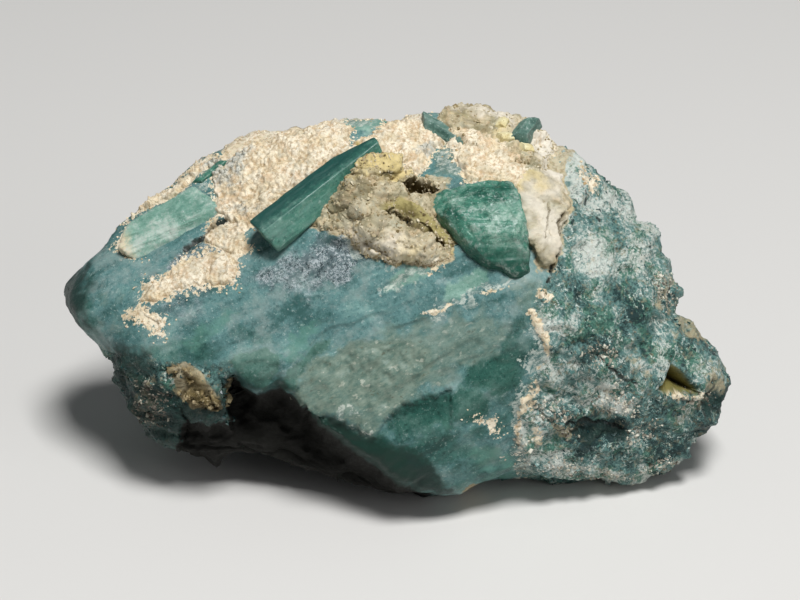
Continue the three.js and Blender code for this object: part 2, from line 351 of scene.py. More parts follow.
# %% Outlines of the minerals
CREAM = [
    [(-20.5, 14.5), (-18, 17.5), (-11, 20), (-7, 20.5), (-5.2, 18.5), (-5, 16), (-7.6, 13.2),
     (-11.2, 10.4), (-16.6, 6.8), (-18.6, 8.4), (-20, 10)],
    [(-20, 8.5), (-16, 8), (-16.5, 6.5), (-15.5, 5), (-17, 4), (-21, 6)],
    [(-16.5, 5), (-17, 1.5), (-19.5, 1), (-22, 1), (-26, -0.5), (-27.5, 0), (-27, 1.5), (-22.5, 4.5),
     (-20, 5.5)],
    [(-29.2, -1.6), (-27.4, -0.4), (-26, -1.4), (-24.2, -2.0), (-24.6, -3.9), (-26.6, -2.9)],
    [(-31, 5.5), (-29, 9), (-28, 9), (-27.5, 5.2), (-29, 4.8)],
    [(-29, 8.8), (-27, 11), (-22, 14.6), (-17.5, 16.6), (-17.5, 15.6), (-22, 12.6), (-26.5, 9.6)],
    [(-5.2, 16.2), (-3, 18), (0, 20.5), (2.7, 20.6), (4.6, 17.2), (3.2, 15), (1.6, 13), (0, 14.6),
     (-3, 15.7)],
    [(4.0, 16.3), (5.4, 17.7), (7.6, 17.8), (10.8, 17), (13.4, 13.5), (12.8, 12), (8.7, 11.6),
     (6.6, 12.4), (6.0, 14), (5.6, 15.7)],
    [(14, 19), (17, 17.6), (17, 16), (14.6, 16.4)],
    [(-8.4, 19.4), (-7, 21.5), (1, 22), (0.5, 19.8), (-3, 19.9), (-6, 19.7)],
    [(2.6, 3.9), (3.2, 3), (4.2, 3.2), (3.9, 4.2)],
    [(19.6, 13.8), (21, 12.5), (20.6, 11.5), (19.2, 12.4)],
    [(7.8, -12.4), (10, -12.6), (10.4, -14), (9.2, -13.6)],
]
MATRIX = [
    [(-9.6, 7.7), (-7.6, 11.5), (-6.4, 14.5), (-4, 16.6), (0, 15), (1.5, 13.5), (5.2, 12.6), (5.6, 11),
     (4, 9.8), (4.3, 8), (6, 6), (5.2, 4.1), (3.2, 3.2), (0.5, 4), (-2.7, 4), (-5.4, 6.3)],
    [(3.6, 18.6), (4.4, 21), (8, 22), (12, 20.6), (16, 18.8), (18.5, 16), (17.5, 13), (18.1, 10), (17, 6),
     (16, 3), (14.0, 3.4), (12.5, 7), (12.2, 11.6), (8.6, 12.6), (7, 15.6)],
    [(-24.6, -6.7), (-22.6, -6.9), (-20.4, -7.8), (-19.3, -9.0), (-18.8, -10.2), (-18.9, -11.2),
     (-19.7, -11.6), (-21.6, -11.2), (-23.2, -10.2), (-23.8, -8.6)],
    [(7, -19.6), (6, -21.5), (9, -22), (11, -20)],
]
PALE = [
    [(4.2, 0), (4.9, 1.6), (6.5, 2.7), (9.1, 3.2), (8.7, 1.6), (6.7, 0.2)],
    [(-1.6, 0.9), (-0.5, 3), (1.3, 3.9), (3.2, 3.8), (2.7, 2.4), (0.5, 1.3)],
    [(-7.4, 18.8), (-6.5, 20.1), (-2.5, 20.2), (-1.2, 19.0), (-3.8, 17.9)],
]
GLASSY = [
    [(-17.6, -6.5), (-16.2, -5.4), (-14, -5.0), (-12.6, -5.6), (-12.4, -6.6), (-13.3, -8.4),
     (-14.6, -9.3), (-16.4, -8.3)],
    [(-13.2, -9.8), (-11.4, -7.2), (-9.2, -5.0), (-7.2, -4.0), (-7.6, -4.8), (-9.8, -6.6), (-11, -9.6)],
]
PLATE = [
    [(-11.2, -10.2), (-10.6, -8.6), (-9.2, -6.2), (-6, -4.6), (-1, -4.2), (3, -4.8), (3.6, -6.6),
     (2.4, -9), (-0.4, -11.2), (-1.8, -13), (-2.6, -14.2), (-4.5, -13.4), (-6.5, -12.1), (-8.6, -11.9),
     (-10.6, -11.2)],
]
DEEP = [
    [(6, -9.2), (7.6, -7), (10.8, -5.4), (12.6, -4.9), (12.5, -9.2), (9.7, -10)],
    [(-0.5, -11), (2.2, -10.3), (6.5, -9.2), (9.7, -10), (8.7, -12.5), (3.2, -13.5), (-1.6, -13.9)],
    [(-10.4, -11.6), (-8.6, -12.3), (-6.5, -12.6), (-4.5, -13.9), (-2.6, -14.7), (2, -15.6), (4, -19.5),
     (1, -19), (-6, -15.6), (-10, -13)],
]
SUGAR = [
    [(18.1, 13), (15.5, 17), (19, 18), (34, 8), (40, -10), (36, -22), (17, -22), (14, -19), (13.2, -15.2),
     (12.2, -13), (12.9, -10.1), (14.2, -8), (15.4, -5.6), (14, -1.1), (14.6, 1.6), (16.9, 5.4)],
    [(-33, -5), (-27, -6), (-23.3, -7), (-17.3, -7), (-16.8, -11.9), (-20, -18), (-33, -18)],
]
# Veins and cracks are open lines with half their width in mm.
VEINS = [
    ([(14.6, 0.9), (15.2, 0.4)], 0.5),
    ([(13.5, -1.2), (14.0, -2.4), (14.9, -3.8), (15.3, -4.4)], 0.5),
    ([(15.4, -4.6), (15.2, -6.2), (14.6, -7.4), (13.8, -8.8)], 0.1),
    ([(13.8, -8.8), (13.0, -10.8), (12.5, -13.2), (12.4, -15.2)], 0.25),
    ([(14.4, -8.6), (14.0, -11), (14.3, -13.4), (15.0, -16)], 0.1),
    ([(2.4, -1.3), (4.0, -1.1), (5.2, -0.7)], 0.16),
    ([(8.2, 0.3), (12.8, 1.7)], 0.02),
    ([(28.6, -9.9), (31.8, -10.2)], 0.25),
]
CRACKS = [
    ([(16.9, 9), (16.3, 7.4), (16.6, 6.4), (16, 4.2), (15.2, 2)], 0.2),
    ([(-22.7, 5.2), (-20.5, 6.6), (-18.4, 8.4)], 0.3),
    ([(-1.4, 8.9), (0.6, 8.5), (2.2, 7.2), (4.4, 6.0)], 0.3),
    ([(-5.2, 13.2), (-3, 12.6), (-0.8, 13.4)], 0.1),
    ([(15.8, 10.2), (15.3, 7.8), (14.8, 6.6)], 0.1),
    ([(20.6, -6.2), (22.4, -7.2), (24.6, -8.8)], 0.14),
    ([(17.8, -13.0), (20.4, -12.8), (23.6, -13.6)], 0.2),
    ([(19.4, 11.8), (20.4, 9.6), (21.2, 8.2)], 0.12),
    ([(33.2, -6.8), (33.6, -9.6), (32.8, -12.6)], 0.12),
]
# The olive fold of the heap is a line, the hollow in it and the pit in the lobe are outlines. The band
# is painted shadow, the dark strip along the recess below the plate; the ledge is a low step across the
# face, the lip the recess's edge.
OLIVE = [(-1.7, 9.7), (0.2, 9.8), (1.7, 8.9), (2.9, 7.7), (5.2, 6.2)]
HOLLOW = [(-0.8, 12.2), (1.6, 12.9), (4.1, 12), (3.2, 11), (1.1, 11.1)]
PIT = [(28.9, -6.6), (27.3, -9.7), (31.8, -9.9)]
SHADOW_BAND = [
    (-10.7, -11.3), (-8.6, -12), (-6.5, -12.3), (-4.5, -13.5), (-2.6, -14.4), (-0.5, -15), (2, -16.4),
    (5.5, -20.5), (0, -20), (-6, -17), (-10, -14),
]
LEDGE = [
    (-10.4, -11.2), (-8.6, -11.9), (-6.5, -12.1), (-4.5, -13.3), (-2.6, -14.2), (-1.9, -13.1),
    (-0.6, -11.5), (1.3, -10.3), (5.3, -9.6),
]
LIP = [
    (-24.6, -16.5), (-23, -10.9), (-21.5, -11.8), (-18, -12.2), (-17.6, -7), (-16.6, -8.2), (-15.2, -9.2),
    (-14.2, -9.1), (-12.6, -8.2), (-11.2, -9.4), (-9.8, -11.5), (-8.2, -13.3), (-6.2, -14.7),
    (-2.6, -16.8), (0.5, -18.6), (4.3, -20.5),
]  # fmt: skip
print("crust:", len(CREAM), "outlines; matrix:", len(MATRIX), "outlines; veins:", len(VEINS))

# %% [markdown]
# Frost, stains and veils of dust have no outline on the real stone: they fade in and out, and so does
# the painted shade laid where the stone lies in shadow. Each is a handful of soft ovals, which are quick
# to move and never show an edge. They only change a colour.

# %% Colour zones: how strong, middle, half sizes and turn of each oval
ZONES = {
    "frost": [
        (1.0, (20.6, 4.2), (5.5, 5), 0), (1.3, (18.0, 13.2), (6.0, 3.0), -42),
        (1.35, (22.7, -10.5), (3.2, 2.2), 0), (1.0, (16.0, -11.3), (2.4, 1.7), 0),
        (0.8, (12.9, -15.8), (1.6, 4), 0), (0.7, (17.9, -17.4), (3.2, 1.4), 0),
        (0.5, (25.4, -14.3), (2.3, 1.7), 0), (1.0, (22.2, -19.2), (3.2, 0.8), 0),
        (1.0, (28, -18), (3, 1), 25), (1.0, (12.9, -13), (1.3, 6), 4),
        (1.3, (16.8, 15.4), (4.4, 2.6), -40), (1.0, (24.6, 9.4), (4.4, 1.6), -55),
        (0.8, (-5.4, -12.3), (1.6, 0.5), -25), (0.9, (-3.1, -13.6), (1.3, 0.5), -20),
        (1.0, (0.8, 2.4), (3.5, 1.0), 32), (0.9, (4.8, 14.6), (2, 2.4), 0),
        (0.7, (8.6, 0.5), (5.5, 0.7), 15), (0.8, (-2.2, 5.8), (5.4, 2.4), -12),
        (0.6, (3.8, -1.0), (2.4, 0.7), 8), (0.9, (14.8, -4.6), (2.0, 5), 0),
        (0.5, (-20.5, 12.6), (3, 1.6), 30), (0.8, (-4.4, 19.4), (3.4, 1.4), 0),
        (1.0, (15.2, 8.4), (2.4, 6), 8), (1.0, (9.4, 20.0), (4.6, 1.7), -8),
        (0.5, (11.8, 17.8), (2, 1.4), 0),
    ],
    # Painted shade: darker tones where the stone lies in shadow, at the foot, the left tip, along the
    # recess, low on the front and in the lobe's hollows and creases.
    "dusk": [
        (1.0, (21.6, -14), (4.8, 3), 0), (0.6, (27, -15.8), (4, 2.6), 20),
        (0.8, (34, -11.6), (2.6, 4), 0), (0.4, (20.4, -4.4), (4.6, 3.4), 0),
        (1.0, (1.0, -13.4), (4, 1.8), -25), (0.5, (6, -17.6), (8, 3), -12),
        (1.0, (-25.5, -12.0), (9, 5.5), 0), (0.8, (12.2, -4.8), (2.2, 5.4), 0),
        (0.6, (11, -11.5), (3, 4), 0), (0.8, (-34.5, -1), (4, 5), 0), (0.5, (25, -1.5), (3, 2.5), 0),
        (0.9, (9.3, -7.4), (4.2, 2.6), 10), (1.0, (-6.5, -13.7), (5.5, 1.3), -28),
        (1.0, (-0.5, -16.8), (7, 2.4), -38), (0.6, (7, -19), (8, 2), 0),
        (1.0, (-21, -10.2), (5.6, 3.2), -10), (0.7, (-22.7, -5.8), (6.5, 2.8), 0),
        (1.0, (5.6, -15.8), (6, 3.2), 0), (0.5, (-15.6, -4.2), (3.8, 0.9), 12),
        (0.25, (-4.2, 11), (2.8, 2.4), 0), (0.35, (7.4, 19.2), (1.8, 0.8), -20),
        (0.3, (-13.6, -5.4), (2.2, 0.7), -30),
    ],
    "violet": [
        (1.0, (-7.6, 4.0), (7.5, 3.4), 28), (0.7, (-12.5, 2.6), (4.5, 2), 28),
        (0.8, (-22.6, 3.9), (5, 1.4), 28), (0.4, (-23, 0), (6, 3), 28), (0.2, (4.8, 14.8), (2, 2.4), 0),
        (0.5, (2.4, 3.6), (2, 0.8), 20),
    ],
    "stain": [
        (0.8, (33, -9.6), (1.2, 3.2), -20), (0.6, (25.5, -7.5), (1.6, 1.2), 0),
        (0.8, (31.4, -3.2), (2.4, 1.8), -40), (0.6, (28.2, 1), (1.6, 2.4), 0),
        (0.4, (-21, -9.2), (3.8, 2), 0), (0.6, (-26.5, -10.8), (1.8, 3.4), 0),
        (0.9, (17.3, -13.9), (2.4, 1), 0), (1.0, (-2, 14.6), (4.8, 2.6), 0),
        (0.35, (7.6, 19.6), (3.4, 2.2), 0), (0.8, (0.6, 5.2), (2, 1.2), 0),
        (0.6, (13.8, 12.6), (2, 1.2), 0), (0.7, (11.2, 18), (1.8, 1.5), 0), (0.7, (5.5, 5), (1, 0.8), 0),
    ],
    # Painted shade: near-black green where the foot, the left tip, the lower front and the lobe's lowest
    # hollows lie in shadow.
    "shade": [
        (0.9, (2.5, -18.6), (5, 1.6), -40), (1.0, (-24.5, -12.6), (9, 5.2), 0),
        (0.8, (-29, -7), (4, 4), 0), (1.0, (-35, 0), (2.2, 5.5), 0), (0.9, (22, -14.2), (4.2, 1.5), 0),
        (0.8, (34.6, -11), (1.8, 3.6), 0), (0.9, (-18.6, -9.2), (1.6, 2.6), 0),
    ],
    "lace": [
        (0.8, (-18.6, 14.4), (3.6, 2.5), 35), (0.6, (-16.2, 10.2), (1.6, 1.2), 0),
        (0.7, (3.6, 15.4), (1.2, 2.4), 20),
    ],
    "green": [
        (0.8, (-10.6, -4.6), (4.6, 1.1), 30), (0.7, (-20, -3), (5, 1.2), 30), (0.3, (5, -14), (4, 2), 20),
        (0.6, (10, -17), (4, 2.4), 0), (0.7, (14, -10.5), (1.6, 3), 0),
    ],
    "veil": [
        (1.0, (4.0, -5), (11, 4.4), 8), (1.0, (-4, -8.6), (9, 5), -15), (0.6, (8.6, -3.4), (5, 3.4), 0),
        (0.6, (13.4, 0.4), (2, 3), 0), (0.3, (-30, -1), (5, 3), 20), (1.0, (5.0, 14.4), (2.2, 2.6), 0),
    ],
}  # fmt: skip
print(sum(len(ovals) for ovals in ZONES.values()), "ovals in", len(ZONES), "colour zones")

# %% [markdown]
# Every point of the skin now learns how far inside each mineral it lies. Painting masks by hand would
# also do, but a distance can be cut anywhere, so one set of numbers serves relief and colour alike.

# %% Measure them at every point of the stone
RAGGED = 0.55
FAR = 99.0  # mm, more than any size of the stone
ASIDE = 9.0  # mm that a mineral of the front alone is put outside its outline on the back


def deepest(s, t, outlines):
    """The largest distance inside any of several outlines."""
    return np.max([inside_of(s, t, corners) for corners in outlines], axis=0)


def nearest_line(s, t, lines):
    """How far inside the width of the nearest of several lines each point is, in mm."""
    return np.max([width - from_line(s, t, corners) for corners, width in lines], axis=0)


def lay_minerals(points):
    """How far inside each mineral every point is, in mm. The points are first shifted by two clouds; on
    the back, where no outline lies, clouds alone decide or the mineral is put far away."""
    shift_s = RAGGED * cloud(points, 2.6, 11)
    shift_t = RAGGED * cloud(points, 2.6, 23)
    s, t = points[:, 0] + shift_s, points[:, 1] + shift_t
    front = ease(points[:, 2], -4.5, -1.5)
    # On the back each has a cloud of its own size, less a number that makes the mineral rarer.
    behind = {
        "cream": 4 * cloud(points, 11, 31) - 2.2,
        "matrix": 4 * cloud(points, 9, 37) - 2.6,
        "pale": 4 * cloud(points, 8, 41) - 1.2,
        "sugar": 5 * cloud(points, 16, 43) + 0.6,
        "deep": 4 * cloud(points, 10, 47) - 1.4,
    }
    outlines = {"cream": CREAM, "matrix": MATRIX, "pale": PALE, "sugar": SUGAR, "deep": DEEP}
    laid = {k: front * deepest(s, t, outlines[k]) + (1 - front) * behind[k] for k in outlines}
    front_only = {
        "plate": deepest(s, t, PLATE),
        "glassy": deepest(s, t, GLASSY),
        # painted shadow: below the plate and along the lip of the recess
        "band": np.maximum(inside_of(s, t, SHADOW_BAND), 0.4 - from_line(s, t, LIP)),
        "vein": nearest_line(s, t, VEINS),
        "crack": nearest_line(s, t, CRACKS),
        "olive": 0.6 - from_line(s, t, OLIVE),
        "hollow": inside_of(s, t, HOLLOW),
        "pit": inside_of(points[:, 0], points[:, 1], PIT),
    }
    laid |= {name: inside - ASIDE * (1 - front) for name, inside in front_only.items()}
    s, t = s + 2 * shift_s, t + 2 * shift_t
    for name, ovals in ZONES.items():
        spread = [
            strength * ease(oval(s, t, at, half, turn), -0.1, 0.7) for strength, at, half, turn in ovals
        ]
        elsewhere = 0.5 * ease(cloud(points, 7, len(name)), 0, 0.7)
        laid[name] = front * np.max(spread, axis=0) + (1 - front) * elsewhere
    return laid


laid = lay_minerals(smooth_body)
print("cream covers", round(100 * float((laid["cream"] > 0).mean())), "% of the points")

# %% [markdown]
# ## Relief
# Large forms first: the matrix heap, the crust, the swell of the lobe and the recess below the broad
# face. They could be sculpted with a brush. Here each is an oval with a height, so that it can be moved
# or lowered by changing one number, and they simply add up.

# %% Large forms
# Height in mm, middle, half sizes and turn of each oval, and how soft its rim is.
LARGE_FORMS = [
    (1.6, (21.5, -2), (9, 10), 20, 0.95),  # swell of the right lobe
    (-1.3, (27, -3.6), (5, 1.7), 40, 0.95),  # crease above the knob
    (1.0, (31, -8.5), (5.5, 5.5), 0, 0.8),  # knob
    (0.5, (-12, 15), (13, 4.6), 22, 0.6),  # ground under the crust band
    (0.4, (9.5, 16), (8, 3.4), -8, 0.5),  # ground under the crumbly crust
    (1.0, (7.5, 19.8), (3.6, 2.4), 0, 0.8),  # tan peak
    (2.9, (-2.4, 14.2), (4.6, 2.6), 4, 0.85),  # yellow mound at the top of the heap
    (2.6, (-3.9, 11.0), (3.8, 2.8), 10, 0.6),  # grey body of the heap
    (1.3, (-4.6, 7.8), (4.2, 1.9), 22, 0.5),  # its lower folds
    (1.4, (-0.2, 6.4), (5.0, 2.2), -22, 0.5),
    (1.3, (15.0, 8.6), (2.7, 6.2), 10, 0.5),  # cream mass beside the block crystal
    (0.6, (-21.0, -9.3), (4.2, 1.9), -32, 0.5),  # brown chunk on the left foot
    (0.6, (12.9, -12.5), (1.0, 5.6), 4, 0.9),  # frosted ridge between the face and the lobe
    (-0.5, (17.5, -9.5), (5, 2.5), 0, 0.8),  # hollows of the lobe
    (-0.8, (21.5, -14), (4.5, 2.2), 0, 0.8),
    (0.6, (22.5, -10.6), (2.6, 1.8), 0, 0.8),
    (0.5, (19, 9.5), (3.5, 5), 20, 0.8),
    (-0.6, (23.5, 1.2), (2.4, 3), -30, 0.8),
]


def large_forms(points):
    """The sum of the ovals' heights, each rising over its rim, faded out where the body turns away."""
    s, t, w = points.T
    total = sum(
        rise * ease(oval(s, t, at, half, turn), 0, rim) for rise, at, half, turn, rim in LARGE_FORMS
    )
    return total * ease(w, 0.5, 4)


print(len(LARGE_FORMS), "large forms, the highest", max(form[0] for form in LARGE_FORMS), "mm")


# %% The recess under the broad face
def below_line(s, t, corners):
    """How far below an open line, given from left to right, each point is; negative beside or above."""
    corners = np.array(corners)
    return np.interp(s, corners[:, 0], corners[:, 1], left=-FAR, right=-FAR) - t


# The shelf's w at the lip and how it follows the body, then how far down the roof slants, in mm.
STEP_FLOOR, STEP_SLOPE, ROOF_SLANT = 1.5, 0.2, 2.6


def step_back(points):
    """Below the lip, w falls towards the shelf over the slant of the roof. Also gives how deep under the
    lip each point lies, from 0 to 1, down to the worn base."""
    s, t, w = points.T
    share = ease(below_line(s, t, LIP), 0.0, ROOF_SLANT)
    shelf = STEP_FLOOR + STEP_SLOPE * (w - STEP_FLOOR)
    moved = points.copy()
    moved[:, 2] = w + share * (w > STEP_FLOOR) * (shelf - w)
    return moved, share * ease(w, -9, -5)


body = smooth_body.copy()
body[:, 2] += large_forms(smooth_body)
body, under_lip = step_back(body)
body_normals = normals_of(body, stone_quads)
print("under the lip:", int((under_lip > 0.5).sum()), "points")

# %% [markdown]
# Then comes the grain of each mineral: long cleavage steps on the broad face, blocky grains in the lobe,
# crumbs in the crust. It is a height added straight out of the skin, because a bump in the material
# alone would leave the outline smooth and cast no shadows.


# %% Grain of each mineral
GRAIN_TURN = math.radians(28)


def grain_axes(points):
    """Points in axes that follow the cleavage: along the streaks, across them and out of the face."""
    s, t, w = points.T
    along = s * math.cos(GRAIN_TURN) + t * math.sin(GRAIN_TURN)
    across = t * math.cos(GRAIN_TURN) - s * math.sin(GRAIN_TURN)
    return np.stack([along, across, w], -1)


def steps(x):
    """A staircase with one stair per whole number: flat, then a rise over its last quarter."""
    whole = np.floor(x)
    return whole + ease(x - whole, 0.75, 1)


def cleavage(points):
    """Long low steps and fine scratches that follow the streaks: stretched clouds, one cut to stairs."""
    lie = grain_axes(points)
    bent = lie + 0.8 * ripple(points, 7, 57)[:, None]
    stairs = steps(1.3 * cloud(bent * np.array([0.3, 1, 0.6]), 4.5, 51, 3)) / 1.3
    fine = cloud(bent * np.array([0.2, 1, 1]), 0.7, 53, 2)
    lumps = cloud(points, 5, 59, 4)
    return 0.3 * stairs + 0.04 * fine + 0.25 * lumps


def relief(points, laid, under):
    """The height of every mineral's own grain, each within its outline."""
    front = ease(points[:, 2], -3, 3)
    cream = ease(laid["cream"], -0.1, 0.5)
    matrix = ease(laid["matrix"], -0.3, 1.8) * front
    sugar = ease(laid["sugar"], -0.4, 1.0)
    plain = (1 - cream) * (1 - matrix) * (1 - sugar)
    crumbs = bumps(points, 1.1, 61)
    coarse = broken(points, 3.4, 67)
    blocks = broken(points, 1.0, 71)
    rough_back = broken(points, 9, 73) * 2.2 + broken(points, 4, 79) * 0.8
    # In front, sheets of their own carry the knobs of crust and matrix, so the stone sinks under them.
    height = cream * ((1 - 1.3 * front) * (0.2 + 0.4 * crumbs) + 0.2 * cloud(points, 1.6, 83))
    height -= 0.4 * matrix
    height += sugar * (0.8 * coarse + 0.45 * broken(points, 1.8, 69) + 0.3 * blocks)
    height += plain * front * cleavage(points)
    height += 0.3 * ease(laid["plate"], 0, 1.6) * cloud(points, 1.6, 97)
    below = below_line(points[:, 0], points[:, 1] + 0.8 * cloud(points, 2, 103), LEDGE)
    height -= 0.55 * front * ease(below, 0, 0.35) * (1 - ease(below, 1, 6))
    height += (1 - front) * rough_back
    height += 0.25 * ease(laid["vein"], 0, 0.3)
    height -= 0.9 * ease(laid["crack"], 0, 0.25)
    height -= 2.6 * ease(laid["hollow"], -0.1, 0.6)
    height -= 3.4 * ease(laid["pit"], 0, 0.4)
    height += under * 0.8 * broken(points, 3, 101)
    return height


stone_relief = relief(smooth_body, laid, under_lip)
stone_points = body + body_normals * stone_relief[:, None]
print("the relief is typically", np.round(stone_relief.std(), 2), "mm high")

# %% [markdown]
# ## From arrays to a mesh
# A finished surface goes into Blender in one go. The points are turned into the room's metres, and
# nothing reaches below the ground, where the stone is worn flat. Each mineral's distance is stored on the
# mesh as an attribute, so the material can read where it is, and the grain axes go along as a vector.


# %% Make a piece
def make_piece(name, points, faces, values, lie, material, smooth=True):
    """A mesh object from points in face axes (mm) and quads or triangles. Its points carry the named
    values and their places in the grain axes."""
    room = to_room(points)
    room[:, 2] = np.maximum(room[:, 2], 0)
    mesh = bpy.data.meshes.new(name)
    mesh.from_pydata(room.tolist(), [], faces.tolist())
    mesh.polygons.foreach_set("use_smooth", np.full(len(faces), smooth))
    for key, value in values.items():
        mesh.attributes.new(key, "FLOAT", "POINT").data.foreach_set("value", value.astype(np.float32))
    flat = lie.astype(np.float32).ravel()
    mesh.attributes.new("lie", "FLOAT_VECTOR", "POINT").data.foreach_set("vector", flat)
    mesh.materials.append(material)
    piece = bpy.data.objects.new(name, mesh)
    bpy.context.scene.collection.objects.link(piece)
    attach(piece, "root")
    print(name, len(points), "points", len(faces) * (faces.shape[1] - 2), "triangles")
    return piece


print("pieces go to", bpy.context.scene.collection.name)

# %% [markdown]
# ## Building materials in short lines
# A material is a tree of nodes. These helpers make one node per line: inputs are given by name, and an
# input can be a plain value or another node's output.


# %% Nodes, arithmetic and colours in one line each
def connect(tree, sockets, values):
    """Each named socket gets its value: a link from another node's output, or a plain number, vector or
    colour. A colour is given as red, green and blue, and gets an alpha of 1."""
    for key, value in values.items():
        socket = sockets[key]
        if isinstance(value, bpy.types.NodeSocket):
            tree.links.new(value, socket)
        else:
            socket.default_value = (*value, 1) if socket.type == "RGBA" else value


def add(tree, kind, inputs=None, output=0, **settings):
    """A node of that kind with its settings and inputs; gives back one of its outputs."""
    node = tree.nodes.new("ShaderNode" + kind)
    for key, value in settings.items():
        setattr(node, key, value)
    connect(tree, node.inputs, inputs or {})
    return node.outputs[output]


def maths(tree, operation, *values):
    """One step of arithmetic on numbers or sockets."""
    return add(tree, "Math", dict(enumerate(values)), operation=operation)


def times(tree, value, share):
    """A value times another, such as a mask made weaker."""
    return maths(tree, "MULTIPLY", value, share)


def centred(tree, value):
    """A texture's value less one half, so that it swings about 0."""
    return maths(tree, "SUBTRACT", value, 0.5)


def weighed(tree, *terms):
    """The sum of values times their weights, from pairs (value, weight)."""
    total = times(tree, *terms[0])
    for value, weight in terms[1:]:
        total = maths(tree, "ADD", total, times(tree, value, weight))
    return total


def remap(tree, value, low, high, to_low=0.0, to_high=1.0):
    """value from low to high becomes to_low to to_high, smoothly, and stays there outside."""
    inputs = {"Value": value, "From Min": low, "From Max": high, "To Min": to_low, "To Max": to_high}
    return add(tree, "MapRange", inputs, interpolation_type="SMOOTHSTEP")


def mix_colour(tree, share, low, high):
    """Low where share is 0, high where it is 1."""
    return add(tree, "Mix", {0: share, 6: low, 7: high}, 2, data_type="RGBA")


def tinted(tree, colour, mask, share, tint):
    """A colour turned towards a tint, by a share of the mask."""
    return mix_colour(tree, times(tree, mask, share), colour, tint)


print("arithmetic of nodes ready")


# %% Textures and groups in one line each
def attribute(tree, name, output="Fac"):
    """A number or vector stored on the mesh."""
    return add(tree, "Attribute", None, output, attribute_name=name)


def stretched(tree, vector, scale):
    """A vector with its three parts scaled, so that a noise read with it is drawn out."""
    return add(tree, "VectorMath", {0: vector, 1: scale}, operation="MULTIPLY")


def shifted(tree, vector, way):
    """A vector moved, so that a noise read with it is another noise of the same kind."""
    return add(tree, "VectorMath", {0: vector, 1: way}, operation="ADD")


def noise(tree, vector, scale, detail=4.0, roughness=0.55, output=0):
    """Blender's noise texture, with scale patches in a mm."""
    inputs = {"Vector": vector, "Scale": scale, "Detail": detail, "Roughness": roughness}
    return add(tree, "TexNoise", inputs, output)


def cell_pattern(tree, vector, scale, output="Color", **settings):
    """Blender's Voronoi texture: cells with a random colour each, scale of them in a mm."""
    return add(tree, "TexVoronoi", {"Vector": vector, "Scale": scale}, output, **settings)


def winding(tree, value, width, core):
    """Thin winding lines where a noise crosses one half: 1 within the core, 0 outside the width."""
    return remap(tree, maths(tree, "ABSOLUTE", centred(tree, value)), width, core)


def bumped(tree, height, strength, depth):
    """The normals of a skin with that height drawn on it, depth in mm."""
    return add(tree, "Bump", {"Height": height, "Strength": strength, "Distance": depth * MM})


def new_group(name, colours, numbers, outputs):
    """An empty node group that reads the vector Lie, the named colours and the numbers with their usual
    values. Its output called Color is a colour, the others are numbers."""
    group = bpy.data.node_groups.new(name, "ShaderNodeTree")
    group.interface.new_socket("Lie", in_out="INPUT", socket_type="NodeSocketVector")
    for label in colours:
        group.interface.new_socket(label, in_out="INPUT", socket_type="NodeSocketColor")
    for label, value in numbers.items():
        socket = group.interface.new_socket(label, in_out="INPUT", socket_type="NodeSocketFloat")
        socket.default_value = value
    for label in outputs:
        kind = "NodeSocketColor" if label == "Color" else "NodeSocketFloat"
        group.interface.new_socket(label, in_out="OUTPUT", socket_type=kind)
    return group, group.nodes.new("NodeGroupInput").outputs, group.nodes.new("NodeGroupOutput").inputs


def place_group(tree, group, inputs):
    """A group placed in a material; gives back its outputs by name."""
    node = tree.nodes.new("ShaderNodeGroup")
    node.node_tree = group
    connect(tree, node.inputs, inputs)
    return node.outputs


print("node helpers ready")

# %% [markdown]
# ## A ragged edge
# The stored distances are smooth, but no mineral ends in a smooth line. This group adds fine noise to a
# distance and cuts it to a mask, so the same outline can end in crumbs or in feathers.


# %% Group: ragged mask
ragged_mask, into, out = new_group(
    "ragged mask", [], {"Inside": 0.0, "Size": 1.0, "Depth": 0.5, "Softness": 0.15}, ["Mask"]
)
tree = ragged_mask
wander = centred(tree, noise(tree, into["Lie"], into["Size"], 5.0, 0.65))
wander = times(tree, wander, times(tree, into["Depth"], 3.0))
edge = maths(tree, "ADD", into["Inside"], wander)
outer = times(tree, into["Softness"], -1.0)
connect(tree, out, {"Mask": remap(tree, edge, outer, into["Softness"])})
print("ragged mask:", len(tree.nodes), "nodes")

# %% [markdown]
# ## Streaked crystal
# Blue-green crystal is not one colour. Light and dark bands follow the cleavage, with finer streaks in
# them, milky clouds where tiny cracks scatter the light, and small white flecks. Each is a noise drawn
# out along the grain axes. One group serves the stone and its loose crystals, with other colours in each.


# %% Group: streaked crystal
streaked_crystal, into, out = new_group(
    "streaked crystal",
    ["Dark", "Middle", "Light", "Milk"],
    {"Milkiness": 0.3, "Flecks": 0.5},
    ["Color", "Roughness", "Height"],
)
tree, lie = streaked_crystal, into["Lie"]
# The noises: broad bands, finer streaks, milky clouds, fine speckle and grit.
wander = stretched(tree, noise(tree, lie, 0.12, 3.0, 0.5, "Color"), (4.0, 4.0, 4.0))
bent = shifted(tree, lie, wander)
bands = noise(tree, stretched(tree, bent, (0.22, 0.5, 0.35)), 0.7, 2.5, 0.6)
streaks = noise(tree, stretched(tree, bent, (0.22, 1.3, 0.9)), 1.0, 3.0, 0.6)
clouds = noise(tree, lie, 0.25, 7.0, 0.75)
speckle = noise(tree, lie, 2.2, 5.0, 0.85)
grit = noise(tree, lie, 3.0, 2.0, 0.7)
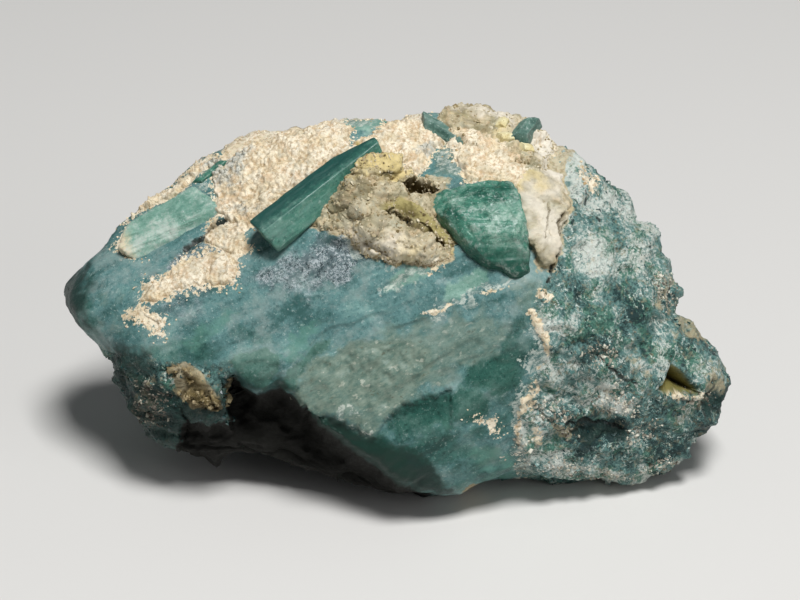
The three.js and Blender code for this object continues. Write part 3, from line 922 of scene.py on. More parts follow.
# The tone picks between the three colours; milk, pits and flecks come over it.
tone = weighed(tree, (bands, 0.45), (streaks, 0.2), (clouds, 0.35), (centred(tree, speckle), 0.45))
colour = mix_colour(tree, remap(tree, tone, 0.36, 0.53), into["Dark"], into["Middle"])
colour = mix_colour(tree, remap(tree, tone, 0.50, 0.70), colour, into["Light"])
colour = tinted(tree, colour, remap(tree, clouds, 0.48, 0.64), into["Milkiness"], into["Milk"])
pitted = times(tree, remap(tree, grit, 0.38, 0.32), remap(tree, clouds, 0.64, 0.44))
colour = tinted(tree, colour, pitted, 0.8, into["Dark"])
FLECK_GREY, FLECK_WHITE = (0.40, 0.48, 0.45), (0.55, 0.65, 0.61)
dusty = times(tree, remap(tree, grit, 0.60, 0.66), remap(tree, speckle, 0.42, 0.56))
colour = tinted(tree, colour, dusty, into["Flecks"], FLECK_GREY)
drawn = stretched(tree, lie, (0.55, 1.4, 1.2))
fleck = times(
    tree,
    remap(tree, cell_pattern(tree, drawn, 1.3, "Distance"), 0.20, 0.08),
    remap(tree, cell_pattern(tree, drawn, 1.3), 0.72, 1.0),
)
fleck = times(tree, fleck, remap(tree, grit, 0.36, 0.5))
colour = tinted(tree, colour, fleck, into["Flecks"], FLECK_WHITE)
rough = remap(tree, streaks, 0.3, 0.7, 0.28, 0.55)
height = weighed(tree, (streaks, 0.4), (speckle, 0.4), (grit, 0.35))
connect(tree, out, {"Color": colour, "Roughness": rough, "Height": height})
print("streaked crystal:", len(tree.nodes), "nodes")

# %% [markdown]
# ## Sugary grain
# In the lobe the crystal is a mass of small blocky grains, some clear and dark, some white with frost.
# A Voronoi texture gives each grain its own tone, and its borders catch white dust.


# %% Group: sugary grain
sugary_grain, into, out = new_group(
    "sugary grain",
    ["Dark", "Middle", "Green", "Frost"],
    {"Frosting": 0.0, "Painted dusk shade": 0.0},
    ["Color", "Roughness", "Height"],
)
tree, lie = sugary_grain, into["Lie"]
# Cells of two sizes for the grains, with their borders; patches, dust and white threads over them.
bent = shifted(tree, lie, noise(tree, lie, 1.2, 3.0, 0.6, "Color"))
coarse, fine = cell_pattern(tree, bent, 0.9), cell_pattern(tree, bent, 3.2)
edge = cell_pattern(tree, bent, 2.1, 0, feature="DISTANCE_TO_EDGE")
patches = noise(tree, lie, 0.25, 6.0, 0.7)
dust = noise(tree, lie, 3.2, 5.0, 0.8)
thread = noise(tree, stretched(tree, lie, (1.0, 0.6, 1.0)), 0.7, 7.0, 0.62)
thread = times(tree, winding(tree, thread, 0.030, 0.004), remap(tree, dust, 0.40, 0.56))
thread = times(tree, thread, remap(tree, noise(tree, lie, 0.32, 2.0, 0.5), 0.40, 0.56))
# All of them add up to one tone, from dark through the ground's colour to frost.
tone = weighed(
    tree,
    (coarse, 0.16),
    (fine, 0.20),
    (thread, 0.5),
    (centred(tree, dust), 1.3),
    (centred(tree, patches), 2.0),
    (into["Frosting"], 0.35),
    # The painted shade input darkens the grains where the lobe lies in shadow.
    (into["Painted dusk shade"], -0.34),
)
aside = shifted(tree, lie, (5.0, 23.0, 9.0))
green = remap(tree, noise(tree, aside, 0.33, 3.0, 0.6), 0.50, 0.57)
ground = mix_colour(tree, green, into["Middle"], into["Green"])
rust = remap(tree, noise(tree, aside, 1.5, 4.0, 0.75), 0.55, 0.63)
RUST_BROWN = (0.20, 0.17, 0.10)
ground = tinted(tree, ground, rust, 0.7, RUST_BROWN)
colour = mix_colour(tree, remap(tree, tone, -0.12, 0.24), into["Dark"], ground)
colour = mix_colour(tree, remap(tree, tone, 0.22, 0.66), colour, into["Frost"])
crevice = noise(tree, shifted(tree, lie, (31.0, 7.0, 3.0)), 0.5, 7.0, 0.66)
crevice = times(tree, winding(tree, crevice, 0.016, 0.003), remap(tree, dust, 0.60, 0.44))
colour = tinted(tree, colour, crevice, 0.8, into["Dark"])
rough = remap(tree, fine, 0.0, 1.0, 0.3, 0.75)
height = weighed(tree, (remap(tree, edge, 0.0, 0.12), 0.5), (dust, 0.7))
connect(tree, out, {"Color": colour, "Roughness": rough, "Height": height})
print("sugary grain:", len(tree.nodes), "nodes")

# %% [markdown]
# ## Crumbly crust
# The crust is a dry mass of cream crumbs with tan pits between them and a few white grains; the pits and
# low places are painted darker, partly as shade. Stone, sheets and yellow chips all share this group, so
# that crumbs look alike wherever they lie.


# %% Group: crumbly crust
crumbly_crust, into, out = new_group(
    "crumbly crust", ["Crumb", "Pit", "White"], {"Holes": 0.6}, ["Color", "Roughness", "Height"]
)
tree, lie = crumbly_crust, into["Lie"]
tint = noise(tree, lie, 0.45, 5.0, 0.65)
crumb = noise(tree, lie, 2.6, 5.0, 0.75)
# Painted shade, in part: the pits between crumbs and the crumbs' low places turn to the pit colour, the
# crust's own tan darkened as shade.
pit_and_shade = times(tree, remap(tree, cell_pattern(tree, lie, 1.9, 0), 0.25, 0.65), remap(tree, crumb, 0.54, 0.40))
pit_and_shade = times(tree, pit_and_shade, into["Holes"])
colour = mix_colour(tree, remap(tree, tint, 0.38, 0.62), into["Crumb"], into["White"])
colour = tinted(tree, colour, remap(tree, crumb, 0.50, 0.34), 0.45, into["Pit"])
colour = mix_colour(tree, pit_and_shade, colour, into["Pit"])
rough = remap(tree, crumb, 0.3, 0.7, 0.85, 0.65)
height = maths(tree, "ADD", crumb, times(tree, pit_and_shade, -0.6))
connect(tree, out, {"Color": colour, "Roughness": rough, "Height": height})
print("groups:", [group.name for group in bpy.data.node_groups])

# %% [markdown]
# ## The stone's material
# All the minerals meet in one surface, so one material mixes them. The blue-green crystal is the ground;
# pale and deep zones change its colours; the grainy zones, the plate, the crust and the matrix are laid
# over it one after another, each through its own ragged mask.

# %% Colours of the minerals
TEAL_DARK = (0.034, 0.100, 0.094)
TEAL = (0.098, 0.210, 0.208)
TEAL_LIGHT = (0.19, 0.34, 0.31)
MILK = (0.27, 0.33, 0.31)
VIOLET_DARK = (0.055, 0.085, 0.095)
VIOLET = (0.125, 0.165, 0.175)
VIOLET_LIGHT = (0.36, 0.41, 0.42)
PALE_DARK = (0.10, 0.23, 0.18)
PALE_GREEN = (0.19, 0.335, 0.27)
PALE_LIGHT = (0.36, 0.50, 0.42)
DEEP_DARK = (0.005, 0.034, 0.026)
DEEP_GREEN = (0.020, 0.088, 0.068)
DEEP_LIGHT = (0.060, 0.165, 0.13)
SUGAR_DARK = (0.012, 0.036, 0.036)
SUGAR_TEAL = (0.095, 0.20, 0.185)
SUGAR_GREEN = (0.06, 0.17, 0.125)
FROST = (0.53, 0.57, 0.52)
CREAM_CRUMB = (0.70, 0.60, 0.42)
CREAM_PIT = (0.42, 0.29, 0.15)
CREAM_WHITE = (0.80, 0.73, 0.58)
MATRIX_TAN = (0.44, 0.37, 0.23)
MATRIX_BROWN = (0.19, 0.14, 0.06)
MATRIX_GREY = (0.51, 0.465, 0.335)
YELLOW_TAN = (0.66, 0.53, 0.24)
OLIVE_BROWN = (0.34, 0.29, 0.12)
HOLLOW_BROWN = (0.08, 0.055, 0.015)
RECESS_SHADOW_BLACK = (0.007, 0.007, 0.005)
DARK_LINE = (0.03, 0.04, 0.035)
PAINTED_SHADE_GREEN = (0.007, 0.026, 0.021)
print("deep green, red to blue:", DEEP_GREEN)


# %% Helpers of the materials
def new_material(name):
    """A material made of one Principled BSDF; gives back its tree and that shader too."""
    material = bpy.data.materials.new(name)
    material.use_nodes = True
    return material, material.node_tree, material.node_tree.nodes["Principled BSDF"]


def masked(tree, name, size=1.0, depth=0.5, softness=0.15):
    """A mineral's mask: its stored distance with a ragged edge."""
    inputs = {"Inside": attribute(tree, name), "Lie": attribute(tree, "lie", "Vector")}
    shape = {"Size": size, "Depth": depth, "Softness": softness}
    return place_group(tree, ragged_mask, {**inputs, **shape})["Mask"]


def zone(tree, name, size=0.9, depth=0.4, softness=0.4):
    """A colour zone's mask: its stored strength, mottled by noise."""
    inputs = {"Inside": centred(tree, attribute(tree, name)), "Lie": attribute(tree, "lie", "Vector")}
    shape = {"Size": size, "Depth": depth, "Softness": softness}
    return place_group(tree, ragged_mask, {**inputs, **shape})["Mask"]


def streaks_of(tree, lie, dark, middle, light, milk, milkiness, flecks):
    """The streaked crystal with its colours."""
    inputs = {"Lie": lie, "Dark": dark, "Middle": middle, "Light": light, "Milk": milk}
    return place_group(tree, streaked_crystal, {**inputs, "Milkiness": milkiness, "Flecks": flecks})


def crumbs_of(tree, lie, crumb, pit, white, holes):
    """The crumbly crust with its colours."""
    inputs = {"Lie": lie, "Crumb": crumb, "Pit": pit, "White": white, "Holes": holes}
    return place_group(tree, crumbly_crust, inputs)


def lit_within(weight, radius, depth):
    """Shader settings that let some light in under the skin, down to a depth in mm."""
    return {"Subsurface Weight": weight, "Subsurface Radius": radius, "Subsurface Scale": depth * MM}


print("material helpers ready")

# %% [markdown]
# Each mineral's own colour comes first, so that laying them over one another later is one short list.
# Crystal colours come from the streaked group, the lobe's from the sugary one.

# %% Colours of the single minerals
stone_material, tree, shader = new_material("grandidierite stone")
lie = attribute(tree, "lie", "Vector")
teal = streaks_of(tree, lie, TEAL_DARK, TEAL, TEAL_LIGHT, MILK, 0.5, 0.5)
violet = streaks_of(tree, lie, VIOLET_DARK, VIOLET, VIOLET_LIGHT, MILK, 0.2, 0.9)
pale = streaks_of(tree, lie, PALE_DARK, PALE_GREEN, PALE_LIGHT, PALE_LIGHT, 0.3, 0.5)
deep = streaks_of(tree, lie, DEEP_DARK, DEEP_GREEN, DEEP_LIGHT, MILK, 0.12, 0.2)
glass = mix_colour(tree, 0.28, deep["Color"], pale["Color"])
sugar_colours = {"Dark": SUGAR_DARK, "Middle": SUGAR_TEAL, "Green": SUGAR_GREEN, "Frost": FROST}
sugar_zones = {"Frosting": attribute(tree, "frost"), "Painted dusk shade": attribute(tree, "dusk")}
sugar = place_group(tree, sugary_grain, {"Lie": lie, **sugar_colours, **sugar_zones})
stain = zone(tree, "stain", 1.4, 1.0)
sugar_stained = tinted(tree, sugar["Color"], stain, 0.7, MATRIX_TAN)
CRUST_COLOURS = (CREAM_CRUMB, CREAM_PIT, CREAM_WHITE)
MATRIX_COLOURS = (MATRIX_TAN, MATRIX_BROWN, MATRIX_GREY)
crust = crumbs_of(tree, lie, *CRUST_COLOURS, 0.6)
matrix = crumbs_of(tree, lie, *MATRIX_COLOURS, 0.25)
stained = tinted(tree, matrix["Color"], zone(tree, "stain"), 0.75, YELLOW_TAN)
# Painted shade: the matrix turns dark brown where the stone lies in shadow.
stained_shaded = tinted(tree, stained, attribute(tree, "dusk"), 0.8, HOLLOW_BROWN)

# %% [markdown]
# A collected stone is never clean. Pale dust clings to the flat plates, fine scratches catch the light
# where the face is greyish, and white rime sits on the lobe's high grains. All three are noises cut to
# thin lines or flakes, which stay sharp at any distance.

# %% Dust, scratches and rime
mist = noise(tree, stretched(tree, lie, (0.6, 1.2, 1.0)), 1.3, 6.0, 0.8)
flakes = noise(tree, stretched(tree, lie, (0.8, 1.1, 1.0)), 1.2, 4.0, 0.6)
THIN_DUST, THICK_DUST = (0.080, 0.145, 0.115), (0.205, 0.26, 0.205)
PALE_FLAKE, DARK_FLAKE = (0.42, 0.44, 0.36), (0.085, 0.085, 0.045)
THIN_RIME, WHITE_RIME = (0.10, 0.165, 0.150), (0.60, 0.63, 0.56)
dust = mix_colour(tree, remap(tree, mist, 0.32, 0.66), THIN_DUST, THICK_DUST)
dust = tinted(tree, dust, remap(tree, flakes, 0.60, 0.67), 0.7, PALE_FLAKE)
dust = tinted(tree, dust, remap(tree, flakes, 0.37, 0.33), 0.6, DARK_FLAKE)
rime = mix_colour(tree, remap(tree, mist, 0.40, 0.60), THIN_RIME, WHITE_RIME)
frosty = times(tree, zone(tree, "frost", 2.2, 1.4, 0.12), remap(tree, attribute(tree, "frost"), 0.02, 0.3))
# The scale of each kind of scratch's noise, where it is read, and the colour.
SCRATCHES = (
    (1.3, 0.0, (0.50, 0.54, 0.56)),
    (2.0, 80.0, (0.44, 0.49, 0.51)),
    (0.8, 40.0, (0.012, 0.020, 0.026)),
)
scratched = violet["Color"]
for size, start, tint in SCRATCHES:
    moved = shifted(tree, lie, (start, start, 0.0))
    hair = winding(tree, noise(tree, moved, size, 4.0, 0.75), 0.036, 0.010)
    broken_up = remap(tree, noise(tree, moved, 1.0), 0.46, 0.56)
    scratched = mix_colour(tree, times(tree, hair, broken_up), scratched, tint)
print("mineral colours:", len(tree.nodes), "nodes")

# %% [markdown]
# Now the layers go on, each through its own mask: first what lies inside the crystal, then what lies on
# it, last the pits and cracks. A mask with a little softness feathers, a hard one ends in crumbs.

# %% Lay the minerals over one another
GREEN_STREAK, BAND_SHADOW_BLACK, PIT_YELLOW = (0.10, 0.25, 0.19), (0.005, 0.029, 0.020), (0.17, 0.15, 0.045)
layers = {
    "violet": (times(tree, zone(tree, "violet"), 0.9), scratched),
    "veil": (times(tree, zone(tree, "veil", 0.7, 0.6), 0.7), dust),
    "pale": (times(tree, masked(tree, "pale", 1.6, 0.5, 0.3), 0.85), pale["Color"]),
    "glassy": (times(tree, masked(tree, "glassy", 1.6, 0.3, 0.15), 0.9), glass),
    "deep": (masked(tree, "deep", 0.8, 0.9, 0.6), deep["Color"]),
    # painted shade: deep green where the stone lies in shadow
    "dusk": (times(tree, zone(tree, "dusk", 0.6, 0.5), 0.8), deep["Color"]),
    "green": (times(tree, zone(tree, "green", 0.8, 0.6), 0.55), GREEN_STREAK),
    # painted shadow: a near-black strip along the recess, below the plate
    "band": (masked(tree, "band", 1.0, 0.8, 0.9), BAND_SHADOW_BLACK),
    "plate": (times(tree, masked(tree, "plate", 1.3, 0.9, 0.4), 0.75), dust),
    "frost": (times(tree, frosty, 0.65), rime),
    "sugar": (masked(tree, "sugar", 1.0, 0.9, 0.4), sugar_stained),
    # painted shade: near-black green where the stone lies in shadow
    "shade": (times(tree, zone(tree, "shade", 1.0, 0.5), 0.85), PAINTED_SHADE_GREEN),
    "matrix": (masked(tree, "matrix", 1.2, 0.5, 0.15), stained_shaded),
    "cream": (masked(tree, "cream", 2.2, 1.3, 0.08), crust["Color"]),
    "vein": (masked(tree, "vein", 1.2, 0.7, 0.08), crust["Color"]),
    "olive": (masked(tree, "olive", 1.2, 0.4, 0.3), OLIVE_BROWN),
    "hollow": (masked(tree, "hollow", 1.2, 0.3, 0.3), HOLLOW_BROWN),
    "pit": (masked(tree, "pit", 1.2, 0.1, 0.15), PIT_YELLOW),
    "crack": (masked(tree, "crack", 1.5, 0.2, 0.1), DARK_LINE),
    # painted shade: the recess under the lip is near black
    "under": (masked(tree, "under", 1.2, 0.3, 0.3), RECESS_SHADOW_BLACK),
}
colour = teal["Color"]
for mask, layer in layers.values():
    colour = mix_colour(tree, mask, colour, layer)
print("layers:", *layers)

# %% [markdown]
# Crystal is half glossy, crust and matrix are dull and rougher. The finest grain, too small for the
# mesh, is a bump. A little light passes under the crystal's skin, which softens its shadows.

# %% Gloss and fine relief
dry = layers["matrix"][0]
for name in ("cream", "vein", "under"):
    dry = maths(tree, "MAXIMUM", dry, layers[name][0])
glossy = remap(tree, teal["Roughness"], 0.28, 0.55, 0.38, 0.62)
roughness = add(tree, "Mix", {0: dry, 2: glossy, 3: crust["Roughness"]})
height = add(tree, "Mix", {0: layers["sugar"][0], 2: teal["Height"], 3: sugar["Height"]})
height = add(tree, "Mix", {0: dry, 2: height, 3: crust["Height"]})
look = {"Base Color": colour, "Roughness": roughness, "Normal": bumped(tree, height, 0.6, 0.2)}
connect(tree, shader.inputs, {**look, "Specular IOR Level": 0.28, **lit_within(0.08, (0.5, 1.0, 0.9), 0.8)})
print("stone material:", len(tree.nodes), "nodes")

# %% [markdown]
# ## The stone
# The skin worked out above becomes one mesh, which stands in for the plain CAD solid. What lies under
# the lip, from 0 to 1, is turned into a distance like the minerals', so that the same mask can read it
# and paint the recess near black as shade.

# %% Make the stone
stone = make_piece(
    "stone_mass",
    stone_points,
    stone_quads,
    {**laid, "under": under_lip * 2 - 0.6},
    grain_axes(smooth_body),
    stone_material,
)
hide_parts(STONE_NODE)

# %% [markdown]
# ## Sheets of crust and matrix
# Crust and matrix are far more finely knobbed than the crystal, so they get sheets of their own with a
# closer grid. A flat grid that touches the stone at one place is thrown onto the body from its middle,
# raised where the mineral lies and sunk out of sight where it doesn't. A second layer underneath closes
# the sheet.


# %% Frames on the skin and heights of the crumbs
smooth_normals = normals_of(smooth_body, stone_quads)


def skin_frame(at):
    """The skin's nearest point to a place on the face, and the directions level, upward and out there."""
    s, t, w = smooth_body.T
    nearest = (np.hypot(s - at[0], t - at[1]) + FAR * (w < 0)).argmin()
    out = smooth_normals[nearest]
    level = unit(np.array([1.0, 0, 0]) - out[0] * out)
    return nearest, np.stack([level, np.cross(out, level), out])


def crumb_height(points):
    """Crumbs of three sizes, and how deep in a crease between them a point lies."""
    coarse, middle, fine = bumps(points, 1.0, 151), bumps(points, 0.52, 157), bumps(points, 0.33, 163)
    lumps = 0.25 * broken(points, 2.2, 169) + 0.3 * cloud(points, 3, 167)
    height = lumps + 0.12 * coarse + 0.18 * middle + 0.22 * fine - 0.35
    return height, middle * 0.5 + fine * 0.5


def matrix_height(points):
    """Craggy lumps: broken planes of two sizes, ridges where a cloud changes sign, and small knobs."""
    ridges = 1 - np.abs(cloud(points, 1.8, 87, 5))
    knobs, small_knobs = bumps(points, 0.6, 173), bumps(points, 0.33, 175)
    crags = 0.7 * broken(points, 3.0, 177) + 0.08 * broken(points, 1.1, 179)
    crags = crags + 0.1 * broken(points, 0.5, 183)
    rough = 0.16 * cloud(points, 0.9, 185, 3)
    height = 0.3 * ridges + crags + rough + 0.07 * knobs + 0.14 * small_knobs - 0.2
    return height, 0.4 * (knobs + small_knobs) + 0.3 * ridges


print("directions at the heap:", np.round(skin_frame((-2, 9.8))[1], 2).tolist())

# %% A closed sheet over part of the skin
SHEET_DEPTH = 2.5  # mm from a sheet's top to the layer that closes it


def thrown_grid(at, half, turn, cell):
    """The grid q = p + u a + v b, with p the skin's place above `at` and a, b level with the skin there,
    thrown to unit(q) times the body's reach. Gives its points, its quads, their closing ring and how
    near the grid's rim each point is, from 1 in the middle to 0."""
    nearest, (level, upward, _) = skin_frame(at)
    angle = math.radians(turn)
    a = math.cos(angle) * level + math.sin(angle) * upward
    b = math.cos(angle) * upward - math.sin(angle) * level
    rows, columns = (int(2 * h / cell) for h in half)
    across, along = (np.linspace(-h, h, count) for h, count in zip(half, (rows, columns)))
    u, v = np.meshgrid(across, along, indexing="ij")
    ray = unit(smooth_body[nearest] + u.reshape(-1, 1) * a + v.reshape(-1, 1) * b)
    index = np.arange(rows * columns).reshape(rows, columns)
    corners = [index[:-1, :-1], index[1:, :-1], index[1:, 1:], index[:-1, 1:]]
    ring = np.concatenate([index[:, 0], index[-1, 1:], index[-2::-1, -1], index[0, -2:0:-1]])
    to_rim = 1 - np.maximum(np.abs(u) / half[0], np.abs(v) / half[1]).ravel()
    return ray * body_reach(ray)[:, None], np.stack(corners, -1).reshape(-1, 4), ring, to_rim


def sheet(name, mineral, at, half, turn, cell, height_of, ragged, gaps=0.0, swell=1.0):
    """A thrown grid that its mineral's stored distance, made ragged, raises where the mineral lies and
    sinks elsewhere, at the rim and under the lip. A copy below it, joined round the ring, closes it."""
    smooth, quads, ring, to_rim = thrown_grid(at, half, turn, cell)
    laid = lay_minerals(smooth)
    moved = smooth.copy()
    moved[:, 2] += large_forms(smooth)
    moved, hidden = step_back(moved)
    outward = normals_of(moved, quads)
    raised, inset = height_of(smooth)
    inside = laid[mineral] + ragged * cloud(smooth, 1.0, 181, 3)
    inside = inside - gaps * ease(cloud(smooth, 2.5, 191), -0.1, 0.4)
    inside = np.minimum(inside - 20 * hidden, 4 * to_rim - 0.3)
    ramp = ease(inside, -0.35, 0.75)
    height = ramp * swell * (0.3 + raised) - 0.8 * (1 - ramp) - 1.5 * (1 - ease(inside, -1.4, -0.4))
    height -= 2.4 * ease(laid["hollow"], -0.1, 0.6) + 0.9 * ease(laid["crack"], 0, 0.2)
    height += 0.35 * ease(laid["olive"], 0, 0.4)
    top = moved + outward * height[:, None]
    under = moved - outward * SHEET_DEPTH
    below = ring + len(top)
    wall = np.stack([ring, below, np.roll(below, -1), np.roll(ring, -1)], 1)
    every = np.concatenate([quads, quads[:, ::-1] + len(top), wall])
    values = {key: np.tile(value, 2) for key, value in {**laid, "inset": inset}.items()}
    lie = np.tile(grain_axes(smooth), (2, 1))
    make_piece(name, np.concatenate([top, under]), every, values, lie, dry_material)
    return top, quads, ramp


print("a sheet is", SHEET_DEPTH, "mm deep")

# %% [markdown]
# Crust and matrix share one dry material. The crust is pinkish where iron has stained it and laced with
# fine dark veins; the matrix is tan with grey, yellow and brown patches. Creases between the crumbs are
# painted darker as shade and their tops lighter as painted highlight.

# %% Material of the sheets: the matrix
dry_material, tree, shader = new_material("crust and matrix")
lie, inset = attribute(tree, "lie", "Vector"), attribute(tree, "inset")
hue = noise(tree, lie, 0.8, 5.0, 0.75, "Color")
red, green = (add(tree, "SeparateColor", {"Color": hue}, k) for k in ("Red", "Green"))
shady = noise(tree, lie, 0.55, 3.0, 0.6)
dots = noise(tree, lie, 3.6, 3.0, 0.8)
RUSTY_TAN, MOSSY_GREY = (0.50, 0.36, 0.21), (0.34, 0.35, 0.27)
KNOB_HIGHLIGHT_TAN, SHADY_BROWN = (0.60, 0.53, 0.36), (0.20, 0.18, 0.10)
matrix = crumbs_of(tree, lie, *MATRIX_COLOURS, 0.15)
mixed = tinted(tree, matrix["Color"], remap(tree, red, 0.48, 0.62), 0.6, RUSTY_TAN)
mixed = tinted(tree, mixed, remap(tree, green, 0.50, 0.62), 0.6, MOSSY_GREY)
# Painted highlight: the tops of the knobs are lighter.
mixed = tinted(tree, mixed, remap(tree, inset, 0.70, 1.0), 0.35, KNOB_HIGHLIGHT_TAN)
mixed = tinted(tree, mixed, remap(tree, shady, 0.47, 0.58), 0.65, SHADY_BROWN)
stained = tinted(tree, mixed, zone(tree, "stain"), 0.8, YELLOW_TAN)
stained = tinted(tree, stained, remap(tree, dots, 0.40, 0.31), 0.8, HOLLOW_BROWN)
print("matrix:", len(tree.nodes), "nodes")

# %% Material of the sheets: the crust
PINK_TAN, SHADY_CREAM, DOT_BROWN = (0.58, 0.41, 0.25), (0.42, 0.38, 0.27), (0.26, 0.22, 0.12)
LACE_GREY, LACE_DARK = (0.50, 0.52, 0.48), (0.045, 0.075, 0.075)
crust = crumbs_of(tree, lie, *CRUST_COLOURS, 0.7)
pinkish = tinted(tree, crust["Color"], remap(tree, red, 0.48, 0.64), 0.65, PINK_TAN)
pinkish = tinted(tree, pinkish, remap(tree, shady, 0.50, 0.62), 0.4, SHADY_CREAM)
pinkish = tinted(tree, pinkish, remap(tree, dots, 0.42, 0.34), 0.6, DOT_BROWN)
veins = winding(tree, noise(tree, lie, 1.1, 5.0, 0.65), 0.045, 0.012)
lacy = mix_colour(tree, veins, LACE_GREY, LACE_DARK)
pinkish = tinted(tree, pinkish, zone(tree, "lace", 1.2, 0.8), 0.8, lacy)
print("with the crust:", len(tree.nodes), "nodes")

# %% Material of the sheets: both together, with frost, creases and shade
FROSTED_CREAM = (0.69, 0.64, 0.54)
colour = mix_colour(tree, masked(tree, "cream", 1.4, 0.8, 0.08), stained, pinkish)
colour = tinted(tree, colour, attribute(tree, "frost"), 0.8, FROSTED_CREAM)
# Painted shade: the creases between the knobs are darker.
crease_shade = mix_colour(tree, masked(tree, "cream"), MATRIX_BROWN, CREAM_PIT)
colour = tinted(tree, colour, remap(tree, inset, 0.62, 0.30), 0.55, crease_shade)
# Painted shade: dark brown where crust and matrix lie in shadow.
colour = tinted(tree, colour, attribute(tree, "dusk"), 0.9, HOLLOW_BROWN)
colour = mix_colour(tree, masked(tree, "olive", 1.2, 0.4, 0.3), colour, OLIVE_BROWN)
colour = mix_colour(tree, masked(tree, "hollow", 1.2, 0.3, 0.3), colour, HOLLOW_BROWN)
colour = tinted(tree, colour, masked(tree, "crack", 1.5, 0.2, 0.1), 0.7, HOLLOW_BROWN)
normal = bumped(tree, crust["Height"], 0.5, 0.12)
look = {"Base Color": colour, "Roughness": crust["Roughness"], "Normal": normal}
connect(tree, shader.inputs, {**look, "Specular IOR Level": 0.25})
print("crust and matrix material:", len(tree.nodes), "nodes")

# %% [markdown]
# Nine sheets cover the crust and the matrix. Each is named for its place, and is given its mineral, its
# middle, its half sizes, its turn and the width of its grid's cells in mm.

# %% Lay the sheets
sheet("crust_band", "cream", (-12.5, 13.5), (11, 7.5), 30, 0.105, crumb_height, 0.5)
sheet("crust_tail", "cream", (-21.5, 3.2), (9, 5), 28, 0.11, crumb_height, 0.5, swell=0.6)
sheet("crust_edge", "cream", (-25, 11.5), (8, 3.4), 32, 0.12, crumb_height, 0.5)
sheet("crust_top", "cream", (4, 16), (10.5, 5.4), -6, 0.105, crumb_height, 0.5)
sheet("vein_crumbs", "vein", (14, -3.5), (2.6, 6), 0, 0.11, crumb_height, 0.9, 2.2, 0.6)
heap = sheet("matrix_heap", "matrix", (-2, 9.8), (9, 8), 0, 0.10, matrix_height, 0.3)
sheet("matrix_right", "matrix", (13.5, 9), (6, 8), 0, 0.12, matrix_height, 0.3, swell=0.7)
peak = sheet("matrix_peak", "matrix", (10, 18.5), (8.5, 4.5), -10, 0.12, matrix_height, 0.3)
foot = sheet("matrix_foot", "matrix", (-21, -9.2), (4.4, 3), 0, 0.12, matrix_height, 0.7, 1.7, swell=0.8)

# %% [markdown]
# ## Crystals that stand out
# A crystal is a lump cut by flat faces. It could be a box with its corners cut off, but it is made as the
# body was: it reaches from its middle as far as its faces let it. With a high power the edges come out
# crisp, yet a little worn. Each crystal has its own axes, and it is placed by how far its middle stands
# off the stone's surface.


# %% Axes and faces of a crystal
def surface_height(s, t):
    """The w of the stone's smooth front nearest to a place on the face."""
    gap = np.hypot(body[:, 0] - s, body[:, 1] - t) + FAR * (body[:, 2] < 0)
    return body[gap.argmin(), 2]


def turned_axes(turn, pitch, roll):
    """Rows along, across and out: the face's axes turned in the face, then the along axis pitched out
    of it, then the other two rolled about the along axis, all in degrees."""
    turn, pitch, roll = np.radians([turn, pitch, roll])
    level = np.array([-math.sin(turn), math.cos(turn), 0])
    along = np.array([*(math.cos(pitch) * np.array([math.cos(turn), math.sin(turn)])), math.sin(pitch)])
    out = np.cross(along, level)
    across = math.cos(roll) * level - math.sin(roll) * out
    return np.stack([along, across, np.cross(along, across)])


def bar_faces(length, width, thick, taper):
    """A bar with a low roof, an upright wall on each long side and two slanting ends."""
    roof = [((0, 0.45, 0.89), thick), ((0, -0.45, 0.89), thick), ((0, 0, -1), thick)]
    walls = [((0, 1, 0.1), width), ((0, -1, 0.1), width)]
    return roof + walls + [((1, taper, 0.3), length), ((-1, -taper, 0.3), length)]


print("a bar has", len(bar_faces(2.5, 0.9, 0.7, 0.8)), "faces")

# %% A crystal cut by its faces
CRYSTAL_EDGE = 40  # the power of its sum: the higher, the crisper its edges


def cut_crystal(name, at, lift, axes, faces, half, material, cells, flute, wear, seed, lying=False):
    """A crystal bounded by faces given in its own axes as (direction, distance). Its skin carries flutes
    that run along it and a little wear, both as heights along the skin's normals. Where two faces are
    about equally near it is at an edge, and that is stored for the material. A lying crystal takes its
    axes from the skin there instead of from the face."""
    turned = turned_axes(*axes)
    if lying:
        turned = turned @ skin_frame(at)[1]
    middle = np.array([*at, surface_height(*at) + lift])
    direction, quads = ball_grid(cells, half)
    facing = unit(np.array([face[0] for face in faces], float))
    distance = np.array([face[1] for face in faces])
    closeness = np.clip(direction @ facing.T / distance, 0, None)
    own = direction * ((closeness**CRYSTAL_EDGE).sum(1) ** (-1 / CRYSTAL_EDGE))[:, None]
    ranked = np.sort(closeness, axis=1)
    flutes = cloud(own * np.array([0.07, 1, 1]), 0.7, seed, 4)
    worn = 0.5 * cloud(own, 1.8, seed + 5, 4) + 0.7 * broken(own, 1.7, seed + 9)
    own = own + normals_of(own, quads) * (flute * flutes + wear * worn)[:, None]
    values = {"edge": ranked[:, -2] / ranked[:, -1], "far": own[:, 0], "low": -own[:, 1]}
    # The seed also moves the place where the material's noises are read, so no two crystals look alike.
    return make_piece(name, middle + own @ turned, quads, values, own + seed * 10.0, material)


# %% [markdown]
# The loose crystals share the streaked group with the stone, in greens of their own. A crystal that
# stands in shade is painted darker towards that side, as shade; one that grows out of the crust turns
# creamier towards it. The yellow chips are weathered through, so they get the crumbly group instead.

